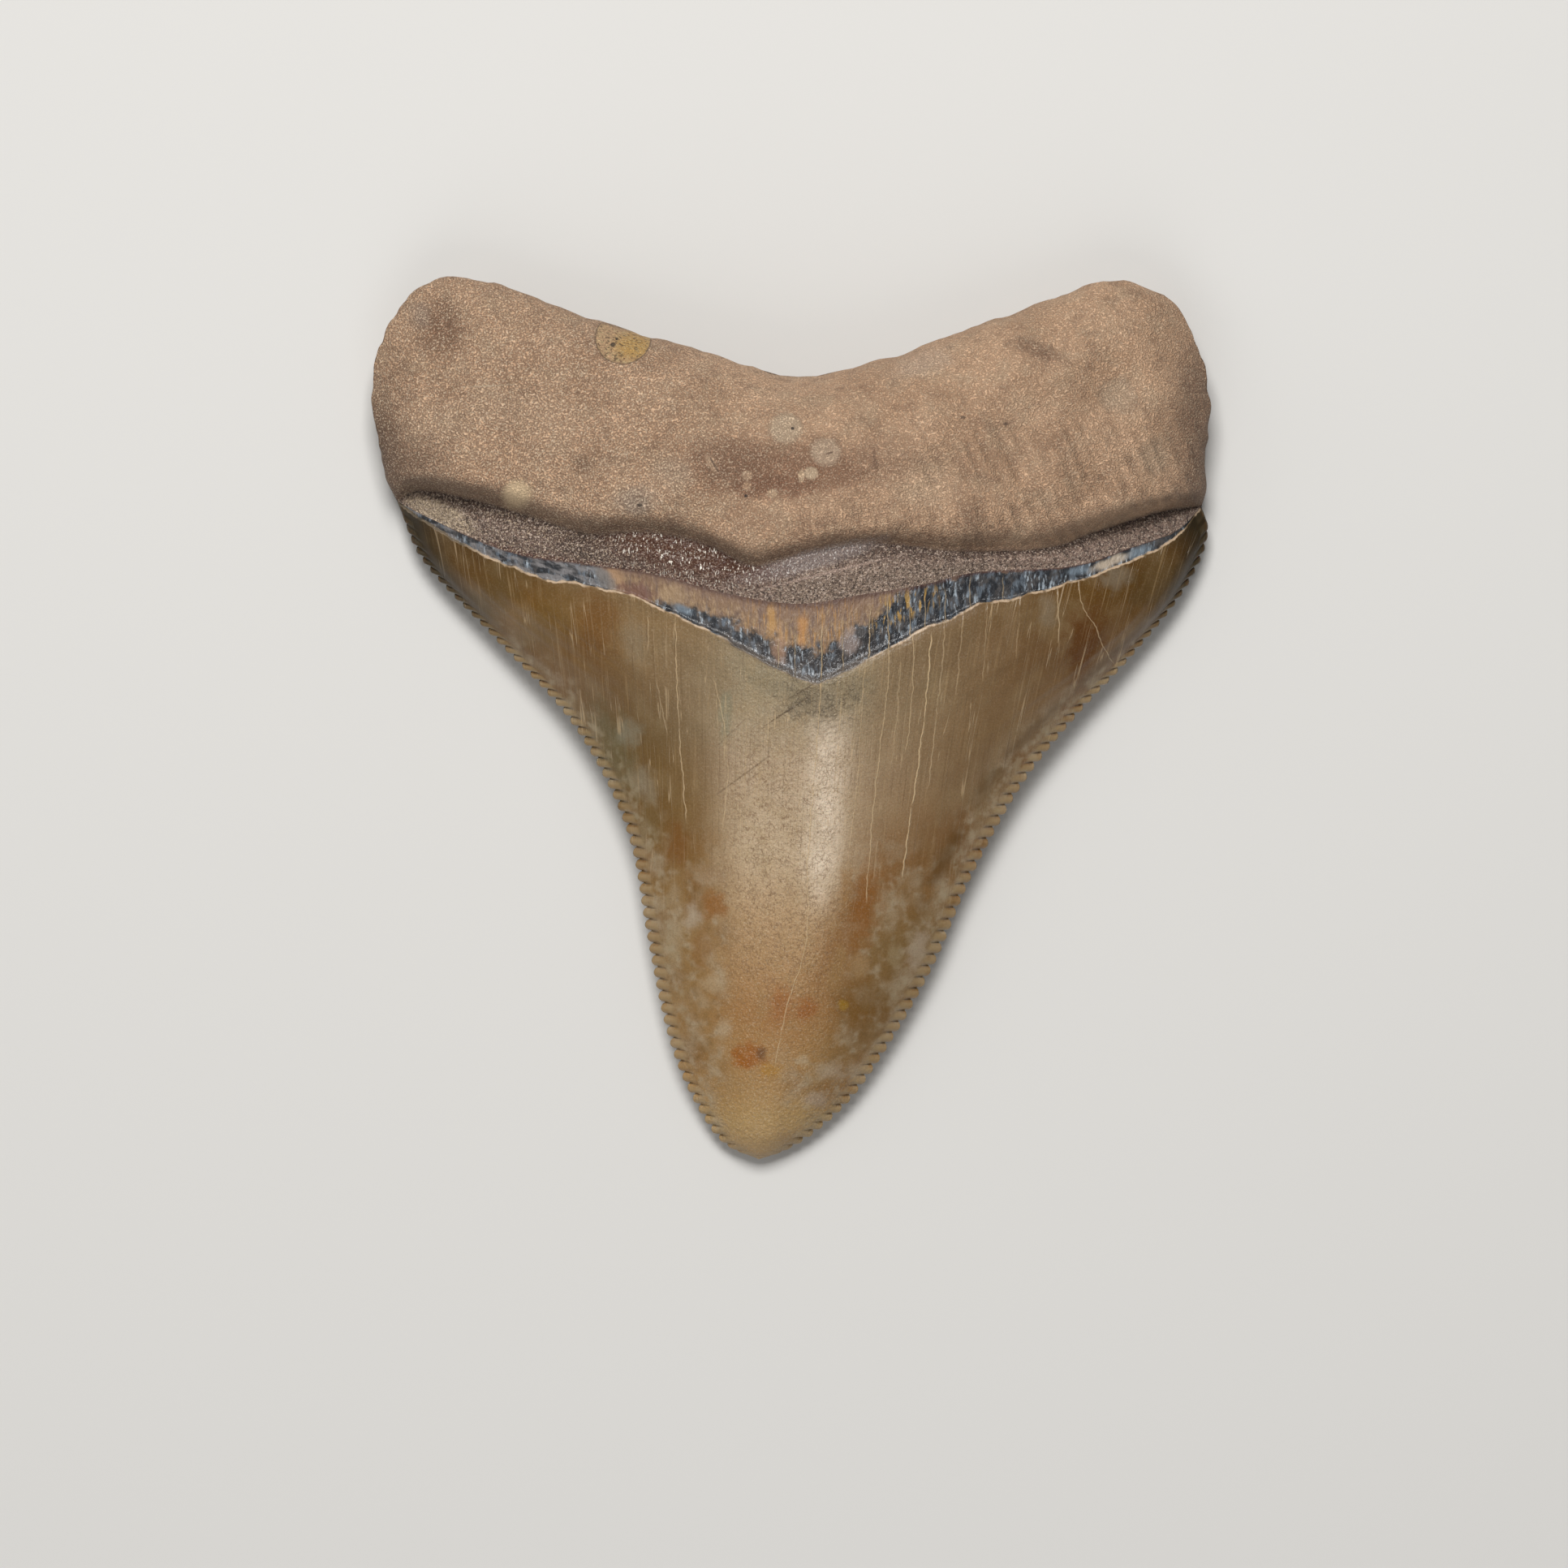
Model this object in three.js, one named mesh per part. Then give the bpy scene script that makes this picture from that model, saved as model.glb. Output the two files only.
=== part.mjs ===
// A fossil tooth of a giant extinct shark: a serrated triangular crown and a bowed root, grown as one
// piece. It lies on its flat outer face, with the domed inner face up.
// Millimetres, +Z up, +Y from the tip to the root, +X to the right when the inner face is looked at.
// The origin is on the surface that the tooth lies on, under the middle of its outline.

import * as THREE from "three";

// Driving dimensions
const CROWN_HEIGHT = 13.9; // of the domed face above the surface, at the crown's upper middle
const ROOT_HEIGHT = 15.6; // of the root's swelling above the surface, at its middle
const ROOT_FALL = 6.6; // how much lower the swelling is at ROOT_REACH to either side
const ROOT_REACH = 29;
const ROOT_BOW = 1.55; // how strongly that fall gathers towards the lobes
const ROOT_BACK_FALL = 0.2; // the share of its height that the swelling loses towards the outline
const MIDDLE_X = 0.8; // the plane of the tooth's near symmetry
const SERRATIONS = 64; // along each cutting edge
const SERRATION_DEPTH = 0.46; // from the crest of a serration to the notch beside it
const SERRATION_OUT = 0.16; // how much of that stands outside the cutting edge's line
const SERRATION_ROUND = 0.6; // below 1 the serrations are round beads with narrow notches
const TIP_WORN = 4; // length of cutting edge at the tip over which the serrations wear away
const CORNER_WORN = 4; // the same at the crown's upper corners
const ENAMEL_STEP = 0.35; // the enamel's broken edge stands this much above the band beside it
const NECK_RISE = 0.45; // the neck stands this much above the enamel's edge
const GROOVE_DEPTH = 0.6; // of the furrow between the neck and the root's swelling
const LUMP_HEIGHT = 0.16; // of the low lumps all over the root
const LUMP_WAVES = [
  { across: 0.62, up: 0.31, start: 0 },
  { across: -0.45, up: 0.83, start: 0.7 },
  { across: 1.05, up: -0.2, start: 2 },
];
const REST_WEAR = 0.2; // the flat face is this much fuller than flat, and worn off to one plane
const NECK_HOLLOW = 0.7; // how far the flat face clears the surface under the neck
const NECK_HOLLOW_REACH = [-1, 10]; // where along the crown that hollow comes in, in y
const NOTCH_HOLLOW = 0.9; // how far it clears it under the root's notch, between its two lobes
const NOTCH_HOLLOW_WIDTH = 12; // half the width of that hollow
const NOTCH_WIDTH = 9; // half the width of the notch
const DOMED_ROLL = 6; // how far in from its outline the root rolls over towards its domed face
const FLAT_ROLL = 4.6; // and towards its flat face
const TIP_BLUNT = 4.4; // length at the tip where the flat face rises to the blunt end
const CROWN_SAG = 3; // how late, towards the neck, the crown's rows bend to its upper line
const ROW_STRAIGHT = 0.9; // how straight the rows stay beside the cutting edges: 1 is fully
const ROW_STRAIGHT_FADE = [0.5, 1]; // the shares of the crown's length over which that fades
const LENS_AT_TIP = 2.1; // how full the domed face is across: 2 is a circle's arc
const LENS_AT_NECK = 1.8;
const FLAT_LENS = 2.3; // the same for the flat face, whose middle is flatter
const NECK_FADE = 0.35; // how soon the neck's relief reaches its full height from its two ends

// How finely the faces are divided
const CROWN_ROWS = 32;
const STEP_SHARE = 0.1; // of the band's width, taken by the step down from the enamel
const BAND_ROWS = 2;
const NECK_ROWS = 3;
const CLIMB_SHARE = 0.2; // of the root's length, taken by its rise out of the groove
const FLAT_NECK_SHARE = 0.45; // of the root's length, taken by the flat face's neck
const ROOT_ROWS = 13;
const COLUMNS = 42;
const SERRATION_STEPS = 4; // steps along each serration
const CLEAR_OF_SERRATIONS = 1.3; // the crown's outer columns are this far from the cutting edges
const CLEAR_SHARE = 0.2; // but no more than this share of its width, near the tip
const GATHER_FROM = 0.94; // the share of the crown's length where the columns start to crowd sideways
const OUTLINE_STEPS = 300; // used to find the distance to the root's outline

// Outlines as points (x, y), seen from above
const LEFT_EDGE = [
  [-2.6, -35.4], [-5.3, -34.1], [-8.1, -29.8], [-9.8, -25.2], [-11.5, -16.9], [-12.7, -10.1],
  [-14.8, -4.8], [-18.1, 0.5], [-24, 6.8], [-29.7, 13.1], [-31.6, 17.4],
];
const RIGHT_EDGE = [
  [-2.6, -35.4], [-0.2, -34.5], [4.2, -31], [8.1, -25.5], [11.5, -19.3], [14.3, -12.7],
  [18.5, -5.1], [22.8, 0.3], [27.5, 5.4], [31.7, 10.8], [33.4, 15.1], [32.9, 17],
];
const ENAMEL_EDGE = [
  [-31.6, 17.4], [-28.2, 15], [-20.3, 11.3], [-14.2, 10.1], [-9.5, 8.3], [-4.6, 5.8], [-1.3, 4],
  [2.3, 2.8], [5.9, 4.6], [10.2, 6.8], [14.6, 8.8], [20.4, 10.2], [25.2, 11.8], [30.5, 14.3],
  [32.9, 17],
];
const BAND_TOP = [
  [-31.6, 17.4], [-28.7, 15.9], [-22.3, 13.2], [-15.5, 12.1], [-10.6, 11.3], [-5, 9.8], [0.6, 9],
  [6, 9.8], [10.3, 10.5], [14.4, 11.5], [22.5, 12.1], [27.1, 13.6], [31.1, 15.2], [32.9, 17],
];
const GROOVE = [
  [-31.6, 17.4], [-30, 18.2], [-25, 17.3], [-20.4, 15.9], [-16, 14.6], [-11.3, 14.7], [-6.8, 13.7],
  [-2.9, 12], [1.2, 13], [6.6, 13.8], [13.1, 13.2], [20.7, 13.6], [24.2, 14.8], [29.9, 16.6],
  [32.9, 17],
];
const ROOT_OUTLINE = [
  [-31.6, 17.4], [-32.6, 19.5], [-33.3, 22.8], [-33.6, 26.9], [-32.8, 30.6], [-30.9, 33.6],
  [-27.9, 35.3], [-23.9, 34.9], [-16.2, 32.1], [-7.7, 29.6], [-2.2, 27.9], [0.6, 27.4], [3.5, 27.7],
  [9, 29.4], [20.2, 33.4], [24.4, 34.9], [27.5, 35], [30.6, 33.3], [32.8, 29.6], [33.6, 25.6],
  [33.5, 23.5], [33.3, 20.5], [33.3, 18.4], [32.9, 17],
];
const LEFT_LOBE_TURN = 0.1; // where along the root's outline its left side ends, as a share
const RIGHT_LOBE_TURN = 0.9; // and where its right side begins
const FLAT_ENAMEL_EDGE = [
  [-31.6, 17.4], [-26.5, 16.4], [-16.5, 13.2], [-6.5, 10.9], [1, 10.3], [8.8, 10.9], [18.5, 13.2],
  [28, 16.1], [32.9, 17],
];

// Heights as points (y, z)
const CUTTING_EDGE_HEIGHT = [
  [-35.4, 1.1], [-32.7, 1.7], [-24.5, 2.7], [-9.4, 3.5], [0, 3.3], [7, 2.8], [17.4, 2.2],
];
const CROWN_RIDGE_HEIGHT = [
  [-35.4, 1.1], [-34.8, 2.3], [-33.2, 3.8], [-29.2, 5.5], [-23.4, 7.2], [-16.4, 8.8],
  [-9.4, 10.4], [-3.5, 11.9], [0.4, 13.1], [2.8, CROWN_HEIGHT],
];
const OUTLINE_HEIGHT = [[16.9, 2.2], [18.6, 2.7], [21, 3.7], [24.4, 4.3], [28, 4.4], [36, 4.2]];
const NOTCH_OUTLINE_RISE = 0.9; // the root's outline is this much higher in its notch

const { lerp, clamp, smoothstep } = THREE.MathUtils;

function curveThrough(points) {
  return new THREE.CatmullRomCurve3(points.map(([x, y]) => new THREE.Vector3(x, y, 0)));
}
const leftEdge = curveThrough(LEFT_EDGE);
const rightEdge = curveThrough(RIGHT_EDGE);
const enamelEdge = curveThrough(ENAMEL_EDGE);
const bandTop = curveThrough(BAND_TOP);
const groove = curveThrough(GROOVE);
const rootOutline = curveThrough(ROOT_OUTLINE);
const flatEnamelEdge = curveThrough(FLAT_ENAMEL_EDGE);
const rootOutlinePlaces = rootOutline.getSpacedPoints(OUTLINE_STEPS);

// The height at y on a smooth line through points (y, z).
function heightAt(points, y) {
  const last = points.length - 2;
  const above = points.findIndex(([at]) => y < at);
  const k = above < 0 ? last : Math.max(above - 1, 0);
  const slope = (i, j) => (points[j][1] - points[i][1]) / (points[j][0] - points[i][0]);
  const [y0, z0] = points[k];
  const [y1, z1] = points[k + 1];
  const span = y1 - y0;
  const t = clamp((y - y0) / span, 0, 1);
  const slopeIn = slope(Math.max(k - 1, 0), k + 1);
  const slopeOut = slope(k, Math.min(k + 2, last + 1));
  const t2 = t * t;
  const t3 = t2 * t;
  const fromEnds = (2 * t3 - 3 * t2 + 1) * z0 + (3 * t2 - 2 * t3) * z1;
  return fromEnds + (t3 - 2 * t2 + t) * span * slopeIn + (t3 - t2) * span * slopeOut;
}

// A bell of height 1 around the plane of near symmetry.
function middleBell(x, width) {
  return Math.exp(-(((x - MIDDLE_X) / width) ** 2));
}

// The place at share a across and t up a patch that lies between four lines.
function patchPlace(lower, upper, left, right, a, t) {
  const place = new THREE.Vector3().lerpVectors(lower(a), upper(a), t);
  const leftShift = left(t).sub(new THREE.Vector3().lerpVectors(lower(0), upper(0), t));
  const rightShift = right(t).sub(new THREE.Vector3().lerpVectors(lower(1), upper(1), t));
  return place.addScaledVector(leftShift, 1 - a).addScaledVector(rightShift, a);
}

const along = (curve) => (share) => curve.getPointAt(share);
const tip = () => leftEdge.getPointAt(0);
const leftSide = (t) => rootOutline.getPointAt(LEFT_LOBE_TURN * t);
const rightSide = (t) => rootOutline.getPointAt(lerp(1, RIGHT_LOBE_TURN, t));
const rootEnd = (a) => rootOutline.getPointAt(lerp(LEFT_LOBE_TURN, RIGHT_LOBE_TURN, a));

// A place on the crown. Its rows run straight from edge to edge, and bend to the upper line at the neck.
function crownPlace(upper, a, v) {
  const straight = new THREE.Vector3().lerpVectors(leftEdge.getPointAt(v), rightEdge.getPointAt(v), a);
  const straightness = ROW_STRAIGHT * (1 - smoothstep(v, ...ROW_STRAIGHT_FADE));
  const late = a - (straightness * Math.sin(2 * Math.PI * a)) / (2 * Math.PI);
  const level = new THREE.Vector3().lerpVectors(upper.getPointAt(0), upper.getPointAt(1), late);
  return straight.addScaledVector(upper.getPointAt(late).sub(level), v ** CROWN_SAG);
}

function cuttingEdgeHeight(a, v) {
  const left = heightAt(CUTTING_EDGE_HEIGHT, leftEdge.getPointAt(v).y);
  const right = heightAt(CUTTING_EDGE_HEIGHT, rightEdge.getPointAt(v).y);
  return lerp(left, right, a);
}

// The domed face of the crown: lens shaped across, and fuller near its upper end.
function crownDomedPoint(a, v) {
  const place = crownPlace(enamelEdge, a, v);
  const edge = cuttingEdgeHeight(a, v);
  const ridge = heightAt(CROWN_RIDGE_HEIGHT, crownPlace(enamelEdge, 0.5, v).y);
  const across = Math.abs(2 * a - 1);
  place.z = edge + Math.max(ridge - edge, 0) * (1 - across ** lerp(LENS_AT_TIP, LENS_AT_NECK, v));
  return place;
}

// The flat face of the crown: worn to one plane along its middle, and hollow under the neck.
function crownFlatPoint(a, v) {
  const place = crownPlace(flatEnamelEdge, a, v);
  const edge = cuttingEdgeHeight(a, v);
  const across = Math.abs(2 * a - 1);
  const hollow = NECK_HOLLOW * (1 - across ** 2) * smoothstep(place.y, ...NECK_HOLLOW_REACH);
  const full = edge * across ** FLAT_LENS - REST_WEAR * (1 - across) + hollow;
  const tipY = tip().y;
  const nearTip = 1 - smoothstep(place.y, tipY, tipY + TIP_BLUNT);
  place.z = lerp(Math.max(full, 0), edge, nearTip ** 2);
  return place;
}

// A place on the band and the neck, this much above the enamel's edge beside it.
function neckPoint(from, to, a, t, rise) {
  const place = from.getPointAt(a).lerp(to.getPointAt(a), t);
  const fade = Math.sin(Math.PI * a) ** NECK_FADE;
  place.z = crownDomedPoint(a, 1).z + fade * rise;
  return place;
}

function outlineHeight(place) {
  return heightAt(OUTLINE_HEIGHT, place.y) + NOTCH_OUTLINE_RISE * middleBell(place.x, NOTCH_WIDTH);
}

// From 0 on the root's outline to 1 at this distance inside it, as a quarter of an ellipse.
function rollOver(place, distance) {
  const away = Math.min(...rootOutlinePlaces.map((at) => Math.hypot(at.x - place.x, at.y - place.y)));
  return Math.sqrt(1 - (1 - Math.min(away / distance, 1)) ** 2);
}

function rootLumps(place) {
  const waveAt = ({ across, up, start }) => Math.sin(across * place.x + up * place.y + start);
  return LUMP_HEIGHT * LUMP_WAVES.reduce((sum, wave) => sum + waveAt(wave), 0);
}

// The root's domed face: steep out of the groove, highest soon above it, and falling to the outline.
function rootDomedPoint(a, t) {
  const place = patchPlace(along(groove), rootEnd, leftSide, rightSide, a, t);
  const low = neckPoint(groove, groove, a, 0, NECK_RISE - GROOVE_DEPTH).z;
  const margin = outlineHeight(place);
  const fromMiddle = Math.abs(place.x - MIDDLE_X) / ROOT_REACH;
  const line = ROOT_HEIGHT - ROOT_FALL * fromMiddle ** ROOT_BOW;
  const top = line * (1 - ROOT_BACK_FALL * smoothstep(t, CLIMB_SHARE, 1)) + rootLumps(place);
  const height = margin + Math.max(top - margin, 0) * rollOver(place, DOMED_ROLL);
  const climb = Math.sin((Math.PI / 2) * Math.min(t / CLIMB_SHARE, 1));
  place.z = lerp(Math.min(low, height), height, climb);
  return place;
}

// The root's flat face: it rests on its two lobes, and is hollow between them.
function rootFlatPoint(a, t) {
  const place = patchPlace(along(flatEnamelEdge), rootEnd, leftSide, rightSide, a, t);
  const enamel = crownFlatPoint(a, 1).z;
  const lobes = Math.max(NOTCH_HOLLOW * middleBell(place.x, NOTCH_HOLLOW_WIDTH) - REST_WEAR, 0);
  const floor = lerp(enamel, lobes, smoothstep(t, 0, FLAT_NECK_SHARE));
  place.z = lerp(outlineHeight(place), floor, rollOver(place, FLAT_ROLL));
  return place;
}

// Collects points and triangles, and leaves out triangles that have closed to a line.
class Skin {
  constructor() {
    this.places = [];
    this.numbers = new Map();
    this.triangles = [];
  }

  point(place) {
    const key = [place.x, place.y, place.z].map((n) => n.toFixed(3)).join();
    if (!this.numbers.has(key)) {
      this.numbers.set(key, this.places.length);
      this.places.push(place);
    }
    return this.numbers.get(key);
  }

  triangle(a, b, c) {
    if (a !== b && b !== c && c !== a) this.triangles.push(a, b, c);
  }

  // Fills between rows that run left to right and follow one another towards the root.
  fill(rows, seenFromAbove) {
    for (let r = 0; r + 1 < rows.length; r++) {
      for (let c = 0; c + 1 < rows[r].length; c++) {
        const [a, b] = [rows[r][c], rows[r][c + 1]];
        const [d, e] = [rows[r + 1][c], rows[r + 1][c + 1]];
        this.triangle(a, ...(seenFromAbove ? [b, e] : [e, b]));
        this.triangle(a, ...(seenFromAbove ? [e, d] : [d, e]));
      }
    }
  }

  // Joins a finely stepped edge to the coarser column of points beside it.
  join(edge, column, edgeIsLeft) {
    const share = (edge.length - 1) / (column.length - 1);
    const half = share / 2;
    const add = (a, b, c) => this.triangle(a, ...(edgeIsLeft ? [b, c] : [c, b]));
    for (let r = 0; r + 1 < column.length; r++) {
      const start = r * share;
      for (let k = 0; k < share; k++) {
        add(edge[start + k], column[k < half ? r : r + 1], edge[start + k + 1]);
      }
      add(edge[start + half], column[r], column[r + 1]);
    }
  }

  geometry() {
    const numbers = this.places.flatMap((place) => [place.x, place.y, place.z]);
    const made = new THREE.BufferGeometry();
    made.setAttribute("position", new THREE.Float32BufferAttribute(numbers, 3));
    made.setIndex(this.triangles);
    made.computeVertexNormals();
    return made;
  }
}

// The points along a cutting edge, with a round crest and a notch for each serration.
function serratedEdge(skin, edge, outward) {
  const steps = SERRATIONS * SERRATION_STEPS;
  const length = edge.getLength();
  return Array.from({ length: steps + 1 }, (_, k) => {
    const v = k / steps;
    const place = edge.getPointAt(v);
    const run = edge.getTangentAt(v);
    const normal = new THREE.Vector3(-run.y, run.x, 0).multiplyScalar(outward);
    const worn = Math.min((v * length) / TIP_WORN, ((1 - v) * length) / CORNER_WORN, 1);
    const bead = Math.abs(Math.sin((Math.PI * k) / SERRATION_STEPS)) ** SERRATION_ROUND;
    const offset = SERRATION_OUT - SERRATION_DEPTH * (1 - bead);
    place.addScaledVector(normal, offset * worn ** 2);
    place.z = heightAt(CUTTING_EDGE_HEIGHT, edge.getPointAt(v).y);
    return skin.point(place);
  });
}

// Shares across a face, closer together towards its sides, without the sides themselves.
const columns = Array.from({ length: COLUMNS }, (_, c) => {
  const turn = Math.PI * ((c + 1) / (COLUMNS + 1));
  return 0.5 - 0.5 * Math.cos(turn);
});

// Shares across the crown at v. They are even and clear of the serrations, and crowd only at its top.
function crownColumns(v) {
  const width = leftEdge.getPointAt(v).distanceTo(rightEdge.getPointAt(v));
  const side = Math.min(CLEAR_OF_SERRATIONS / width, CLEAR_SHARE);
  const gather = smoothstep(v, GATHER_FROM, 1);
  return columns.map((a, c) => lerp(lerp(side, 1 - side, c / (COLUMNS - 1)), a, gather));
}

const shares = (count) => Array.from({ length: count }, (_, k) => (k + 1) / count);

function crownFace(skin, pointAt, leftPoints, rightPoints, seenFromAbove) {
  const rowAt = (v) => crownColumns(v).map((a) => skin.point(pointAt(a, v)));
  const rows = [0, ...shares(CROWN_ROWS)].map(rowAt);
  skin.fill(rows, seenFromAbove);
  skin.join(leftPoints, rows.map((row) => row[0]), seenFromAbove);
  skin.join(rightPoints, rows.map((row) => row.at(-1)), !seenFromAbove);
  return [leftPoints.at(-1), ...rows.at(-1), rightPoints.at(-1)];
}

function toothGeometry() {
  const skin = new Skin();
  const leftPoints = serratedEdge(skin, leftEdge, 1);
  const rightPoints = serratedEdge(skin, rightEdge, -1);
  const domedTop = crownFace(skin, crownDomedPoint, leftPoints, rightPoints, true);
  const flatTop = crownFace(skin, crownFlatPoint, leftPoints, rightPoints, false);
  const neckRow = (pointAt) => [
    leftPoints.at(-1),
    ...columns.map((a) => skin.point(pointAt(a))),
    rightPoints.at(-1),
  ];
  const rootRow = (pointAt, t) => [0, ...columns, 1].map((a) => {
    const place = pointAt(a, t);
    const onOutline = a === 0 || a === 1 || t === 1;
    if (onOutline) place.z = outlineHeight(place);
    return skin.point(place);
  });

  const stepRow = neckRow((a) => neckPoint(enamelEdge, bandTop, a, STEP_SHARE, -ENAMEL_STEP));
  const bandRows = shares(BAND_ROWS).map((t) =>
    neckRow((a) => neckPoint(enamelEdge, bandTop, a, t, lerp(-ENAMEL_STEP, 0, t))),
  );
  const neckRows = shares(NECK_ROWS).map((t) => {
    const rise = NECK_RISE * smoothstep(t, 0, 0.5) - GROOVE_DEPTH * smoothstep(t, 0.5, 1);
    return neckRow((a) => neckPoint(bandTop, groove, a, t, rise));
  });
  const rootShares = shares(ROOT_ROWS).map((t) => Math.sin((Math.PI / 2) * t));
  const rootRows = rootShares.map((t) => rootRow(rootDomedPoint, t));
  skin.fill([domedTop, stepRow, ...bandRows, ...neckRows, ...rootRows], true);

  const flatRows = rootShares.map((t) => rootRow(rootFlatPoint, t));
  skin.fill([flatTop, ...flatRows], false);
  return skin.geometry();
}

const tooth = new THREE.Mesh(
  toothGeometry(),
  new THREE.MeshStandardMaterial({ color: 0x97785a, roughness: 0.45, metalness: 0 }),
);
tooth.name = "tooth";

const fossil = new THREE.Group();
fossil.add(tooth);

export default fossil;
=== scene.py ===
"""The looks of a fossil shark tooth: its fine form, enamel crown, dark neck band and grainy root."""

import logging
import math
from dataclasses import dataclass, replace
from enum import Enum

import bmesh
import bpy
import numpy as np
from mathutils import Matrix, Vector, noise


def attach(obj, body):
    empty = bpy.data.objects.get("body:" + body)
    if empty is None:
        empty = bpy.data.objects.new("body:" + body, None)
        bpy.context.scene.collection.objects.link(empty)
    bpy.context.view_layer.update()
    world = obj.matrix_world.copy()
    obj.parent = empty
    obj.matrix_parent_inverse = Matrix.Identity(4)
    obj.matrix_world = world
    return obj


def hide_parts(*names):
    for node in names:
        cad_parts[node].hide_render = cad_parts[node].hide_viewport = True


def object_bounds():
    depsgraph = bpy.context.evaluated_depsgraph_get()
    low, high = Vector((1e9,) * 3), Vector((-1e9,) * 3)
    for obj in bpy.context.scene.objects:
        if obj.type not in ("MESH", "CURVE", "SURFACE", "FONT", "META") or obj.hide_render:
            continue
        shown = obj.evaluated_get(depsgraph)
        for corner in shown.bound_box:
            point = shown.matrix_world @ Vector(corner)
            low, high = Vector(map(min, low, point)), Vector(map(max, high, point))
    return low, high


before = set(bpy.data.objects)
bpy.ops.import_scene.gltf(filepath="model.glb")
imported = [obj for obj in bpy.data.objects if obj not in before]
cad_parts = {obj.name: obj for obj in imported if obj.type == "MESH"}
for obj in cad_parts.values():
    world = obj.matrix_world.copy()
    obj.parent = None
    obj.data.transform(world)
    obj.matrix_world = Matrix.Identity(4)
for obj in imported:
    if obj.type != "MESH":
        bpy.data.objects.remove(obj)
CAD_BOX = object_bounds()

logging.basicConfig(level=logging.INFO, format="%(message)s")
log = logging.getLogger("fossil_tooth")

MM = 0.001
NOISE_GAIN = 1.6  # brings the noise's values to about -1 and 1

Points = tuple[tuple[float, float], ...]
Socket = bpy.types.NodeSocket


class SmoothLine:
    """A smooth curve through a few points, in millimetres, walked by share of its length."""

    def __init__(self, points: Points, steps: int = 60) -> None:
        """Finds places along the curve.

        Args:
            points: the places that it passes through.
            steps: how many places are worked out between two of them.
        """
        given = np.array(points, float)
        ends = [2 * given[0] - given[1]], [2 * given[-1] - given[-2]]
        knots = np.vstack([ends[0], given, ends[1]])
        t = np.linspace(0, 1, steps, endpoint=False)[:, None]
        pieces = []
        for p0, p1, p2, p3 in zip(knots, knots[1:], knots[2:], knots[3:]):
            g0, g1, g2 = (np.linalg.norm(b - a) ** 0.5 for a, b in ((p0, p1), (p1, p2), (p2, p3)))
            start = ((p1 - p0) / g0 - (p2 - p0) / (g0 + g1) + (p2 - p1) / g1) * g1
            stop = ((p2 - p1) / g1 - (p3 - p1) / (g1 + g2) + (p3 - p2) / g2) * g1
            pieces.append(hermite(p1, p2, start, stop, t))
        self.places = np.vstack([*pieces, given[-1:]])
        run = np.linalg.norm(np.diff(self.places, axis=0), axis=1)
        self.length = float(run.sum())
        self.shares = np.concatenate([[0], np.cumsum(run)]) / self.length

    def at(self, share: np.ndarray) -> np.ndarray:
        """The (x, y) places at these shares of the length."""
        x, y = (np.interp(share, self.shares, self.places[:, k]) for k in (0, 1))
        return np.stack([x, y], axis=-1)

    def normal(self, share: np.ndarray) -> np.ndarray:
        """The unit normals, to the left of the way along the curve.

        Args:
            share: shares of the length.

        Returns:
            The normals (x, y).
        """
        step = 0.002
        run = self.at(np.clip(share + step, 0, 1)) - self.at(np.clip(share - step, 0, 1))
        run /= np.linalg.norm(run, axis=-1, keepdims=True)
        return np.stack([-run[:, 1], run[:, 0]], axis=-1)


class HeightLine:
    """A smooth line of heights over the length of the tooth, in millimetres."""

    def __init__(self, points: Points) -> None:
        """Keeps the points and the slope at each of them.

        Args:
            points: places along the tooth and their heights.
        """
        self.y, self.z = np.array(points, float).T
        y = np.concatenate([self.y[:1], self.y, self.y[-1:]])
        z = np.concatenate([self.z[:1], self.z, self.z[-1:]])
        self.slope = (z[2:] - z[:-2]) / (y[2:] - y[:-2])

    def at(self, y: np.ndarray) -> np.ndarray:
        """The heights at y.

        Args:
            y: places along the tooth.

        Returns:
            Their heights.
        """
        k = np.clip(np.searchsorted(self.y, y, side="right") - 1, 0, len(self.y) - 2)
        span = self.y[k + 1] - self.y[k]
        t = np.clip((y - self.y[k]) / span, 0, 1)
        return hermite(self.z[k], self.z[k + 1], self.slope[k] * span, self.slope[k + 1] * span, t)


def hermite(p1: np.ndarray, p2: np.ndarray, m1: np.ndarray, m2: np.ndarray, t: np.ndarray) -> np.ndarray:
    """The cubic from p1 to p2 with the slopes m1 and m2 at its ends, at t."""
    ends = (2 * t**3 - 3 * t**2 + 1) * p1 + (3 * t**2 - 2 * t**3) * p2
    return ends + (t**3 - 2 * t**2 + t) * m1 + (t**3 - t**2) * m2


def ease(value: np.ndarray, start: float, stop: float) -> np.ndarray:
    """From 0 at start to 1 at stop, with soft ends."""
    t = np.clip((value - start) / (stop - start), 0, 1)
    return t * t * (3 - 2 * t)


def mix(a: np.ndarray | float, b: np.ndarray | float, t: np.ndarray | float) -> np.ndarray:
    """From a at 0 to b at 1."""
    return a + (b - a) * t


def bell(distance: np.ndarray, width: float) -> np.ndarray:
    """A bell of height 1 and this width."""
    return np.exp(-((distance / width) ** 2))


def nearest(places: np.ndarray, line: np.ndarray) -> np.ndarray:
    """How far each place is from the nearest point of a line.

    Args:
        places: the places, a row each.
        line: the line's points, a row each.

    Returns:
        The distances.
    """
    batch = 2000
    parts = np.array_split(places, max(len(places) // batch, 1))
    away = [np.linalg.norm(part[:, None] - line[None], axis=2).min(axis=1) for part in parts]
    return np.concatenate(away)


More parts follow.
